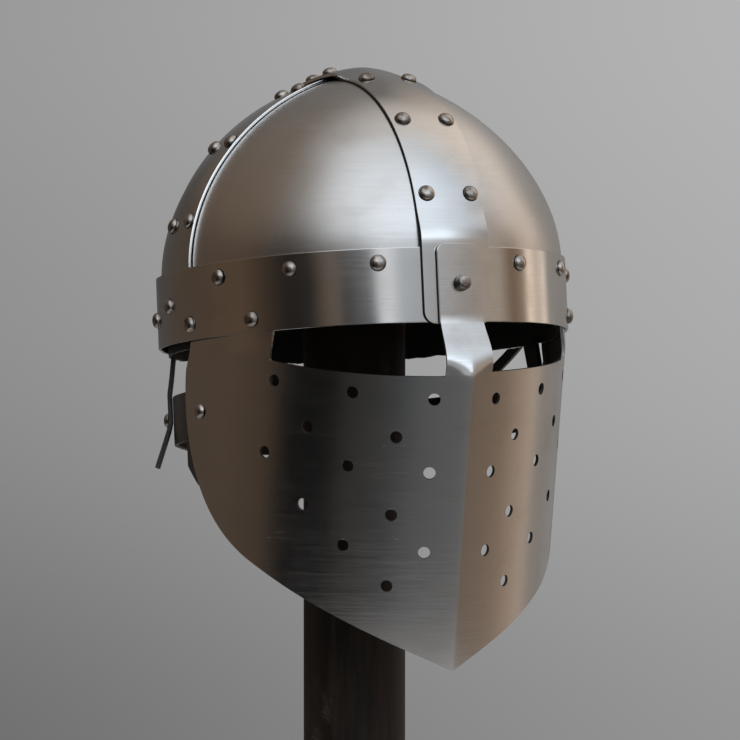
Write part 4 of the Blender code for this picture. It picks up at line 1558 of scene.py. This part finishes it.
@dataclass
class Rivets(SubAssembly):
    """Rivet heads on the bands and the brow band, and the nasal stud."""

    bands: Bands
    plate: FacePlate
    diameter: float = 0.0080
    head: float = 0.0029
    rim: float = 0.08
    dome: float = 0.90
    dome_power: float = 0.9
    pair: float = 0.0240
    sunk: float = 0.00005
    # Size of the dark ring of painted contact shade and grime round each rivet's foot
    ring_reach: float = 0.00022
    ring_sunk: float = 0.0001
    ring_top: float = 0.00005
    stud_diameter: float = 0.0078
    stud_length: float = 0.0052
    stud_height: float = 0.0187
    stud_sides: int = 40
    stud_facing: Triple = (0.05, -1.0, 0.03)
    # Shares of the radius and of the length
    stud_profile: tuple[Span, ...] = (
        (0.0, 0.0),
        (1.05, 0.0),
        (1.05, 0.12),
        (0.97, 0.2),
        (0.97, 0.70),
        (0.90, 0.84),
        (0.72, 0.95),
        (0.40, 1.0),
        (0.0, 0.96),
    )
    # Shares of the rise from the brow band to the crown
    front_pairs: tuple[float, ...] = (0.258, 0.647, 0.914)
    side_pairs: tuple[float, ...] = (0.239, 0.640, 0.919)
    # Degrees forward of the side, and share of the brow band's height
    brow_places: tuple[Span, ...] = (
        (69.2, 0.80),
        (44.7, 0.80),
        (21.4, 0.80),
        (32.3, 0.18),
        (9.0, 0.22),
        (-2.1, 0.53),
        (-15.0, 0.40),
        (-38.0, 0.50),
        (-60.0, 0.50),
        (-80.0, 0.50),
    )

    def build(self, nodes: Iterable[str]) -> None:
        """Set every rivet on the steel, and the stud.

        Args:
            nodes: names of the CAD nodes that are rivets.
        """
        scatter = Scatter()
        self._band_rivets(scatter)
        self._brow_rivets(scatter)
        piece = scatter.build("rivet_heads", self._head(self.diameter / 2, self.head), self.finishes.rivet)
        dress(self.workshop.finish(piece, crease=RIVET_CREASE), Slot.RIVETS, *nodes)
        # A thin dark ring round each rivet's foot: painted contact shade, and grime
        reach = self.diameter / 2 + self.ring_reach
        low, high = -self.ring_sunk, self.ring_top
        profile = [(0.0, low), (reach, low), (reach, high), (0.0, high)]
        template = self.workshop.turned("ring_template", profile, RIVET_SIDES, self.finishes.painted_shade_and_dirt)
        piece = scatter.build("rivet_dirt_rings", template, self.finishes.painted_shade_and_dirt)
        dress(self.workshop.finish(piece, crease=RIVET_CREASE), Slot.RIVETS)
        self._stud()

    def _head(self, radius: float, height: float) -> bpy.types.Object:
        """A hand-set dome on a low rim, with a small flat struck on its top.

        Args:
            radius: the rim's radius.
            height: the head's height.

        Returns:
            The template.
        """
        profile = [(0.0, 0.0), (radius, 0.0), (radius, height * self.rim)]
        for turn in range(10, 90, 10):
            angle = math.radians(turn)
            out = radius * math.cos(angle) ** self.dome_power
            profile.append((out, height * (self.rim + self.dome * math.sin(angle))))
        profile.append((0.0, height))
        return self.workshop.turned("rivet_template", profile, RIVET_SIDES, self.finishes.rivet)

    def _band_rivets(self, scatter: Scatter) -> None:
        """Pairs along both bands, and four at the crossing.

        Args:
            scatter: takes the seats.
        """
        half, form = self.pair / 2, self.form
        for climb in self.front_pairs:
            height = form.crown(climb)
            _, half_length, shift = form.section(height, 0.0)
            for sign in (-1, 1):
                centre = Vector((0.0, shift + sign * half_length, height))
                self._pair(scatter, centre, Vector((1, 0, 0)), self.bands.front_stand_off(centre))
        for climb in self.side_pairs:
            height = form.crown(climb)
            half_width, _, shift = form.section(height, 0.0)
            for sign in (-1, 1):
                self._pair(scatter, Vector((sign * half_width, shift, height)), Vector((0, 1, 0)), LAP)
        stand_off = LAP + self.bands.crossing_lap
        for across in (-half, half):
            for along in (-half, half):
                base = Vector((across, form.crown_shift + along, form.brow))
                self._seat(scatter, form.hit(base, Vector((0, 0, 1)), stand_off), stand_off)

    def _pair(self, scatter: Scatter, centre: Vector, across: Vector, stand_off: float) -> None:
        """Add two rivets across a band.

        Args:
            scatter: takes the seats.
            centre: the band's middle on the skull's face.
            across: the direction across the band.
            stand_off: how far the band's face lies outside the skull's.
        """
        for seat in self.bands.row(centre, across, (-1, 1), self.pair / 2, stand_off):
            self._seat(scatter, seat, stand_off)

    def _seat(self, scatter: Scatter, seat: Vector, stand_off: float) -> None:
        """Add one rivet just sunk onto its sheet."""
        normal = self.form.normal(seat, stand_off)
        scatter.add(seat + normal * self.sunk, normal)

    def _brow_rivets(self, scatter: Scatter) -> None:
        """Rivets round the brow band.

        Args:
            scatter: takes the seats.
        """
        for degrees, share in self.brow_places:
            for side in Side:
                forward = math.radians(degrees)
                angle = -forward if side is Side.LEFT else math.pi + forward
                stand_off = self.bands.brow_stand_off(angle)
                self._seat(scatter, self.form.wall(angle, share * self.form.brow, stand_off), stand_off)

    def _stud(self) -> None:
        """The dark stub that stands out of the nasal strip."""
        radius, length = self.stud_diameter / 2, self.stud_length
        profile = [(radius * out, length * up) for out, up in self.stud_profile]
        stud = Scatter(tilt=0.0, size_swing=0.0)
        reach = self.form.section(self.stud_height, self.plate.nasal_stand_off)[1]
        stud.add(Vector((0.0, -reach, self.stud_height)), Vector(self.stud_facing).normalized())
        template = self.workshop.turned("stud_template", profile, self.stud_sides, self.finishes.stud)
        piece = stud.build("nasal_stud_head", template, self.finishes.stud)
        dress(self.workshop.finish(piece, crease=40.0), Slot.RIVETS, "nasal_stud")


@dataclass
class Leather(SubAssembly):
    """The lining band and the straps."""

    plate: FacePlate
    liner_top: float = 0.036
    liner_drop: float = 0.0032
    liner_steps: int = 720
    liner_rows: int = 6
    ragged: float = 0.0007
    # Share, scale and layer of each noise
    rag_scales: tuple[Triple, ...] = ((1.0, 160.0, 1.7), (0.5, 620.0, 9.1))
    front_span: Span = (0.30, 0.65)
    liner_cut: float = 0.00025
    strap_width: float = 0.0256
    strap_height: float = -0.0372
    strap_steps: int = 180
    strap_rows: int = 8
    strap_cut: float = 0.0005
    sway: float = 0.0006
    sway_scale: float = 3.0
    sway_layer: float = 4.0
    half_width: float = 0.0984
    reach: float = 0.117
    start: float = -0.024
    sag: float = 0.0048
    plate_clear: float = 1.1 * SHEET + SEAT_GAP
    hanger_width: float = 0.014
    hanger_steps: int = 40
    hanger_cut: float = 0.0004
    hanger_angle: float = math.radians(26)
    hanger_back: float = math.radians(90)
    slant_start: float = math.radians(6)
    slant_end: float = math.radians(34)
    tail: float = 0.022
    splay: float = 0.0080
    chin_width: float = 0.018
    chin_front: float = -0.0005
    chin_front_left: float = -0.020
    chin_lean_left: float = 0.34
    chin_end: float = -0.074
    chin_point: float = 0.011
    chin_steps: tuple[int, int] = (12, 20)
    rivet_y: float = -0.0195
    rivet_lift: float = 0.001
    rivet_facing: Span = (-0.12, -0.02)
    # Radius and height
    rivet_profile: tuple[Span, ...] = (
        (0.0, 0.0),
        (0.0039, 0.0),
        (0.0037, 0.0009),
        (0.0029, 0.0018),
        (0.0016, 0.0023),
        (0.0, 0.0025),
    )

    def build(self) -> None:
        """Make and dress the lining and the straps."""
        self._liner()
        self._neck_strap()
        self._hanger("right", Side.RIGHT, self.hanger_angle, self.hanger_angle)
        self._hanger("left", Side.LEFT, self.slant_start, self.slant_end)
        self._hanger("back", Side.LEFT, self.hanger_back, self.hanger_back)
        foot = self.strap_height - self.strap_width / 2
        self._chin_strap("right", Side.RIGHT, foot + self.chin_width, self.chin_front, 0.0)
        left_top = -self.liner_drop - SEAT_GAP
        self._chin_strap("left", Side.LEFT, left_top, self.chin_front_left, self.chin_lean_left)
        self._strap_rivets()

    def _strap(self, name: str, rows: Rows, outer: Material, inner: Material, cut: float, node: str) -> None:
        """Make and dress one strap.

        Args:
            name: the piece's name.
            rows: points of its outer face.
            outer: finish of its outer face.
            inner: finish of its inner face.
            cut: radius of its cut edges.
            node: the CAD node that it stands for.
        """
        materials = (outer, inner, self.finishes.strap_edge)
        middle = (0.0, self.reach / 3, self.strap_height)
        piece = self.workshop.sheet(name, [rows], LEATHER, materials, inside=middle, bevel=cut)
        dress(piece, Slot.STRAP, node)

    def _liner(self) -> None:
        """Ring with a ragged cut lower edge."""
        rows = []
        for k in range(self.liner_steps):
            angle = math.tau * k / self.liner_steps
            frontness = smoothstep(-math.sin(angle), *self.front_span)
            place = self.form.wall(angle, 0.0, -LAP - SEAT_GAP)
            rag = sum(
                share * noise.noise(Vector((place.x * scale, place.y * scale, layer)))
                for share, scale, layer in self.rag_scales
            )
            foot = -self.liner_drop + frontness * (self.liner_drop + SHEET) + self.ragged * rag
            count = self.liner_rows
            heights = [foot + (self.liner_top - foot) * k / count for k in range(count + 1)]
            rows.append([Vector((place.x, place.y, height)) for height in heights])
        materials = (self.finishes.lining, self.finishes.lining, self.finishes.strap_edge)
        piece = self.workshop.sheet(
            "lining_leather_band", [rows], LEATHER, materials, closed=True, bevel=self.liner_cut
        )
        dress(piece, Slot.LINING, "leather_lining")

    def _point(self, angle: float, height: float, outwards: float = 0.0) -> Vector:
        """Outer face of the neck strap's oval, kept inside the face plate in front.

        Args:
            angle: place round it; 0 is the side and a quarter turn is the back.
            height: the point's height.
            outwards: how far outside the strap's face it lies.

        Returns:
            The point on the wearer's left.
        """
        power = 2 / self.form.power
        x = (self.half_width + outwards) * signed_power(math.cos(angle), power)
        y = (self.reach + outwards) * signed_power(math.sin(angle), power)
        if y < self.plate.side_front and outwards <= 0:
            inside = self.plate.side_at(y, height) - self.plate_clear + outwards
            x = math.copysign(min(abs(x), inside), x)
        return Vector((x, y, height))

    def _strap_middle(self, angle: float) -> float:
        """Height of the neck strap's middle, which hangs down towards the back."""
        return self.strap_height - self.sag * max(math.sin(angle), 0.0) ** 2

    def _oval_angle(self, y: float) -> float:
        """Place round the neck strap's oval at a depth."""
        return math.copysign(math.asin((abs(y) / self.reach) ** (self.form.power / 2)), y)

    def _neck_strap(self) -> None:
        """Strap from cheek to cheek, round the back."""
        start = self._oval_angle(self.start)
        rows = []
        for k in range(self.strap_steps + 1):
            angle = start + (math.pi - 2 * start) * k / self.strap_steps
            scale = self.sway_scale
            place = Vector((math.cos(angle) * scale, math.sin(angle) * scale, self.sway_layer))
            middle = self._strap_middle(angle) + self.sway * noise.noise(place)
            shares = [-0.5 + row / self.strap_rows for row in range(self.strap_rows + 1)]
            rows.append([self._point(angle, middle + share * self.strap_width) for share in shares])
        strap = self.finishes.strap
        self._strap("neck_strap_leather", rows, strap, strap, self.strap_cut, "neck_strap")

    def _hanger(self, name: str, side: Side, angle_top: float, angle_foot: float) -> None:
        """Strap from the lining down over the neck strap, with a loose tail.

        Args:
            name: which hanger it is.
            side: the wearer's side.
            angle_top: place round the neck strap's oval at the lining.
            angle_foot: place round it at the neck strap.
        """
        strap_middle = self._strap_middle(angle_foot)
        strap_top = strap_middle + self.strap_width / 2
        strap_foot = strap_middle - self.strap_width / 2
        top = -self.liner_drop - SEAT_GAP
        outside = LEATHER + 2 * SEAT_GAP
        # Height, how far outside the neck strap's face, and share of the way to the lower angle
        stations = (
            (top, 0.0, 0.0),
            ((top + strap_top) / 2, outside * 0.5, 0.42),
            (strap_top + LEATHER, outside, 0.75),
            (strap_middle, outside, 1.0),
            (strap_foot + self.tail * 0.4, outside + self.splay * 0.12, 1.0),
            (strap_foot, outside + self.splay * 0.5, 1.0),
            (strap_foot - self.tail * 0.5, outside + self.splay, 1.0),
        )
        heights, outs, turns = (np.array(column) for column in zip(*stations))
        half_turn = self.hanger_width / 2 / self.reach
        rows = []
        for depth in np.linspace(-heights[0], -heights[-1], self.hanger_steps):
            out = float(np.interp(depth, -heights, outs))
            angle = angle_top + (angle_foot - angle_top) * float(np.interp(depth, -heights, turns))
            points = [self._point(angle + k / 3 * half_turn, -depth, out) for k in range(-3, 4)]
            rows.append([Vector((side.value * point.x, point.y, point.z)) for point in points])
        outer, inner = self.finishes.strap, self.finishes.lining
        self._strap(f"hanger_leather_{name}", rows, outer, inner, self.hanger_cut, f"hanger_{name}")

    def _chin_strap(self, name: str, side: Side, top: float, front: float, lean: float) -> None:
        """Strap that hangs inside the cheek, with a slanted end.

        Args:
            name: which strap it is.
            side: the wearer's side.
            top: height of its upper end.
            front: how far back its front edge is at the top.
            lean: how far forward it moves for each metre down.
        """
        across_steps, down_steps = self.chin_steps
        rows = []
        for across in range(across_steps + 1):
            share = across / across_steps
            foot = self.chin_end + share * self.chin_point
            column = []
            for k in range(down_steps + 1):
                height = top + (foot - top) * k / down_steps
                y = front + share * self.chin_width - lean * (top - height)
                point = self._point(self._oval_angle(y), height, -LEATHER - SEAT_GAP)
                column.append(Vector((side.value * point.x, point.y, point.z)))
            rows.append(column)
        outer, inner = self.finishes.strap, self.finishes.lining
        self._strap(f"chin_strap_leather_{name}", rows, outer, inner, self.hanger_cut, f"chin_strap_{name}")

    def _hanger_rivet(self, scatter: Scatter, side: Side, angle: float) -> None:
        """Add the rivet that holds a hanger to the neck strap.

        Args:
            scatter: takes the seat.
            side: the wearer's side.
            angle: place round the neck strap's oval.
        """
        point = self._point(angle, self._strap_middle(angle) + self.rivet_lift, LEATHER + 2 * SEAT_GAP)
        outward = Vector((side.value * math.cos(angle), math.sin(angle), 0.0))
        scatter.add(Vector((side.value * point.x, point.y, point.z)), outward)

    def _strap_rivets(self) -> None:
        """Rivets that hold the neck strap to the face plate and the hangers to the neck strap."""
        scatter = Scatter()
        for side in Side:
            x = side.value * self.plate.side_at(self.rivet_y, self.strap_height)
            seat = Vector((x, self.rivet_y, self.strap_height + self.rivet_lift))
            scatter.add(seat, Vector((side.value, *self.rivet_facing)))
            self._hanger_rivet(scatter, side, self.hanger_angle if side is Side.RIGHT else self.slant_end)
        self._hanger_rivet(scatter, Side.LEFT, self.hanger_back)
        finish = self.finishes.rivet
        template = self.workshop.turned("strap_rivet_template", self.rivet_profile, RIVET_SIDES, finish)
        piece = scatter.build("strap_rivet_heads", template, finish)
        dress(self.workshop.finish(piece, crease=RIVET_CREASE), Slot.RIVETS)


@dataclass
class Stand(SubAssembly):
    """The base plate with its post, and the cap under the crown."""

    diameter: float = 0.0545
    wall: float = 0.003
    base_diameter: float = 0.260
    base_thickness: float = 0.008
    edge: float = 0.0015
    edge_share: float = 0.3
    weld: float = 0.004
    weld_share: float = 0.9
    sides: int = 120

    def build(self, nodes: dict[str, bpy.types.Object]) -> None:
        """Turn the post finely, and dress the cap that stays.

        Args:
            nodes: the CAD nodes by name.
        """
        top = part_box("post_stand")[1].z
        radius, base, thick = self.diameter / 2, self.base_diameter / 2, self.base_thickness
        near, far = self.edge * self.edge_share, self.edge
        profile = [(0.0, 0.0), (base - far, 0.0), (base - near, near), (base, far)]
        profile += [(base, thick - far), (base - near, thick - near), (base - far, thick)]
        profile += [(radius + self.weld, thick)]
        for turn in range(15, 90, 15):
            angle = math.radians(turn)
            out = radius + self.weld * (1 - math.sin(angle)) * self.weld_share
            profile.append((out, thick + self.weld * (1 - math.cos(angle))))
        bore = radius - self.wall
        profile += [(radius, thick + self.weld), (radius, top), (bore, top), (bore, thick), (0.0, thick)]
        piece = self.workshop.turned("post_stand_turned", profile, self.sides, self.finishes.rust)
        dress(self.workshop.finish(piece, placed=True, crease=35.0), Slot.STAND, "post_stand")
        cap = nodes["stand_cap"]
        cap.data.materials.clear()
        cap.data.materials.append(self.finishes.rust)


# The studio


@dataclass(frozen=True)
class Tier:
    """One tier of the room, whose stops are degrees round from the front, brightness, and red over blue."""

    stops: tuple[Triple, ...]

    def colour(self, graph: Graph, place: Signal) -> Signal:
        """The tier's colour.

        Args:
            graph: the world's tree.
            place: share of the full turn, with the front at a half.

        Returns:
            The colour as a signal.
        """
        colours = []
        for degrees, brightness, warmth in self.stops:
            side = math.sqrt(warmth)
            colours.append((degrees / 360 + 0.5, (brightness * side, brightness, brightness / side)))
        return graph.node("ShaderNodeValToRGB", {"stops": colours}, {0: place})


FLOOR_TIER = Tier(
    (
        (-180, 0.06, 1.3), (-150, 0.08, 1.8), (-121, 0.084, 1.9), (-113, 0.074, 1.95), (-101, 0.062, 2.0),
        (-95, 0.020, 1.4), (-91, 0.007, 1.0), (-64, 0.007, 1.0), (-57, 0.028, 1.4), (-46, 0.042, 1.1),
        (-36, 0.062, 0.92), (-28, 0.12, 0.92), (-18, 0.17, 1.0), (20, 0.19, 1.2), (60, 0.17, 1.7),
        (76, 0.17, 1.9), (86, 0.31, 1.85), (99, 0.46, 1.6), (107, 0.31, 1.25), (137, 0.29, 1.08),
        (160, 0.10, 1.1), (180, 0.06, 1.3),
    )
)
LEVEL_TIER = Tier(
    (
        (-180, 0.09, 1.1), (-150, 0.08, 1.9), (-122, 0.082, 2.1), (-110, 0.090, 2.35), (-90, 0.04, 1.9),
        (-80, 0.022, 1.4), (-64, 0.022, 1.4), (-52, 0.12, 1.8), (-47, 0.13, 1.6), (-42, 0.06, 1.2),
        (-25, 0.16, 0.9), (-21, 0.95, 0.97), (-16, 1.05, 0.95), (-8, 0.62, 0.90), (4, 0.54, 0.92),
        (14, 0.46, 1.08), (27, 0.42, 1.25), (38, 0.46, 1.4), (54, 0.44, 1.5), (65, 0.16, 2.2),
        (73, 0.24, 2.0), (77, 0.34, 1.8), (81, 1.15, 1.5), (85, 1.00, 1.48), (89, 0.66, 1.48),
        (93, 0.72, 1.45), (98, 1.00, 1.40), (104, 0.36, 1.2), (140, 0.26, 1.05), (158, 0.20, 1.0),
        (180, 0.09, 1.1),
    )
)
LOW_SKY_TIER = Tier(
    (
        (-180, 0.12, 1.3), (-150, 0.13, 1.8), (-105, 0.14, 2.1), (-75, 0.12, 1.6), (-58, 0.14, 1.2),
        (-44, 0.80, 0.96), (-30, 1.20, 0.94), (-10, 1.80, 0.86), (22, 1.90, 0.80), (33, 0.80, 0.94),
        (45, 0.46, 1.1), (58, 0.30, 1.5), (68, 0.90, 1.35), (92, 0.95, 1.42), (104, 0.38, 1.2),
        (140, 0.36, 1.02), (158, 0.20, 1.05), (180, 0.12, 1.2),
    )
)
HIGH_SKY_TIER = Tier(
    (
        (-180, 0.20, 1.3), (-105, 0.16, 1.9), (-75, 0.20, 1.6), (-55, 0.60, 1.05), (-40, 1.12, 0.95),
        (-10, 1.45, 0.88), (18, 1.40, 0.82), (45, 1.02, 0.85), (62, 0.98, 1.05), (90, 1.05, 1.28),
        (115, 0.92, 1.33), (138, 0.50, 1.3), (155, 0.22, 1.12), (180, 0.20, 1.2),
    )
)
OVERHEAD_TIER = Tier(
    (
        (-180, 0.70, 1.2), (-120, 0.66, 1.1), (-60, 1.10, 0.97), (0, 1.15, 0.92), (45, 1.0, 0.92),
        (100, 0.9, 1.15), (180, 0.70, 1.2),
    )
)


@dataclass(frozen=True)
class SoftBox:
    """One rectangular area light."""

    name: str
    place: Triple
    size: Span
    power: float
    colour: Triple

    def build(self, aim: Triple) -> None:
        """Set the light up, facing a place.

        Args:
            aim: the place.
        """
        data = bpy.data.lights.new(self.name, "AREA")
        data.shape = "RECTANGLE"
        data.size, data.size_y = self.size
        data.energy = self.power
        data.color = self.colour
        light = linked(self.name, data)
        light.location = self.place
        light.visible_glossy = False
        light.rotation_euler = (Vector(aim) - Vector(self.place)).to_track_quat("-Z", "Y").to_euler()


@dataclass
class Studio:
    """Camera, floor, soft lights and the room that the steel reflects."""

    azimuth: float = math.radians(-23.34)
    elevation: float = math.radians(2.24)
    distance: float = 1.632
    focal: float = 149.4
    film: float = 36.0
    sideways: float = -0.0040
    lift: float = 0.0152
    look_at: Triple = (0.0, -0.011, 0.300)
    floor_radius: float = 0.45
    floor_sides: int = 96
    floor_drop: float = 0.0004
    wall: Triple = (1.0, 1.0, 1.01)
    wall_base: float = 0.138
    # Painted light on the wall: how much brighter, and the directions where that starts and is full
    wall_right: Triple = (0.186, 0.18, 0.61)
    wall_middle: Triple = (0.112, -0.17, -0.02)
    wall_top: Triple = (0.047, -0.05, 0.08)
    slant: float = 0.55
    slant_heights: Span = (0.10, 0.34)
    slant_turns: Span = (-0.7, 0.0)
    lowest: Tier = FLOOR_TIER
    # Heights of the direction where a tier starts to show and is full
    tiers: tuple[tuple[float, float, Tier], ...] = (
        (-0.17, 0.0, LEVEL_TIER),
        (0.23, 0.36, LOW_SKY_TIER),
        (0.38, 0.68, HIGH_SKY_TIER),
        (0.80, 0.99, OVERHEAD_TIER),
    )
    boxes: tuple[SoftBox, ...] = (
        SoftBox("Front box", (-0.9, -2.0, 2.2), (1.4, 1.0), 16.0, (0.90, 0.94, 1.0)),
        SoftBox("Right box", (2.1, -0.8, 1.6), (1.0, 1.0), 7.0, (1.0, 0.86, 0.72)),
    )

    def build(self) -> None:
        """Set up the studio, whose boxes light the leather and the floor while the steel mirrors the room."""
        self._camera()
        self._floor()
        self._room()
        for box in self.boxes:
            box.build(self.look_at)
        bpy.context.scene.view_settings.view_transform = "Standard"

    def _camera(self) -> None:
        """A long lens at the photograph's viewing angle."""
        right = Vector((math.cos(self.azimuth), math.sin(self.azimuth), 0.0))
        away = Vector((math.sin(self.azimuth), -math.cos(self.azimuth), 0.0))
        back = away * math.cos(self.elevation) + Vector((0.0, 0.0, math.sin(self.elevation)))
        up = back.cross(right)
        data = bpy.data.cameras.new("Camera")
        data.lens = self.focal
        data.sensor_width = self.film
        camera = linked("Camera", data)
        place = Vector(self.look_at) + back * self.distance - right * self.sideways - up * self.lift
        camera.matrix_world = Matrix.Translation(place) @ Matrix((right, up, back)).transposed().to_4x4()
        bpy.context.scene.camera = camera

    def _floor(self) -> None:
        """A pale round floor under the stand."""
        mesh = bmesh.new()
        bmesh.ops.create_circle(mesh, cap_ends=True, segments=self.floor_sides, radius=self.floor_radius)
        data = bpy.data.meshes.new("floor")
        mesh.to_mesh(data)
        mesh.free()
        data.transform(Matrix.Translation((0.0, 0.0, -self.floor_drop)))
        data.materials.append(StudioPaint("Pale floor").build())
        linked("floor", data)

    def _room(self) -> None:
        """A wall with painted light, brighter towards the right and the top, and an open courtyard that the
        steel reflects.
        """
        world = bpy.data.worlds.new("Room")
        bpy.context.scene.world = world
        world.use_nodes = True
        graph = Graph(world.node_tree)
        x, y, z = graph.split(graph.node("ShaderNodeTexCoord", output="Generated"))
        turn = graph.node("ShaderNodeMath", {"operation": "ARCTAN2"}, {0: x, 1: -1.0 * y})
        leftness = 1.0 - turn.between(*self.slant_turns)
        slanted = turn + z * z.between(*self.slant_heights) * leftness * self.slant
        place = slanted * (1 / math.tau) + 0.5
        lit = self.lowest.colour(graph, place)
        for low, high, tier in self.tiers:
            lit = graph.mix(z.between(low, high), lit, tier.colour(graph, place))
        # The wall's painted light: brighter towards the right and the top, darker towards the lower left
        shade = self.wall_base
        for axis, (gain, low, high) in ((x, self.wall_right), (z, self.wall_middle), (z, self.wall_top)):
            shade = shade + gain * axis.between(low, high)
        wall_with_painted_light = graph.node("ShaderNodeVectorMath", {"operation": "SCALE"}, {0: self.wall, 3: shade})
        seen = graph.node("ShaderNodeLightPath", output="Is Camera Ray")
        shown = {0: seen}
        for index, colour in ((1, lit), (2, wall_with_painted_light)):
            shown[index] = graph.node("ShaderNodeBackground", {}, {"Color": colour, "Strength": 1.0})
        graph.end("ShaderNodeOutputWorld", graph.node("ShaderNodeMixShader", {}, shown))


def main() -> None:
    """Load the frame, set up the studio and build every sub-assembly."""
    logging.basicConfig(level=logging.INFO, format="%(name)s: %(message)s")
    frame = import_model()
    Studio().build()
    form = SkullForm()
    workshop = Workshop(HelmetPose())
    finishes = Finishes()
    SkullPlates(form, workshop, finishes).build()
    bands = Bands(form, workshop, finishes)
    bands.build()
    plate = FacePlate(form, workshop, finishes)
    plate.build()
    rivet_nodes = [name for name in sorted(frame["nodes"]) if "rivet" in name]
    Rivets(form, workshop, finishes, bands, plate).build(rivet_nodes)
    Leather(form, workshop, finishes, plate).build()
    Stand(form, workshop, finishes).build(frame["nodes"])


if __name__ == "__main__":
    main()
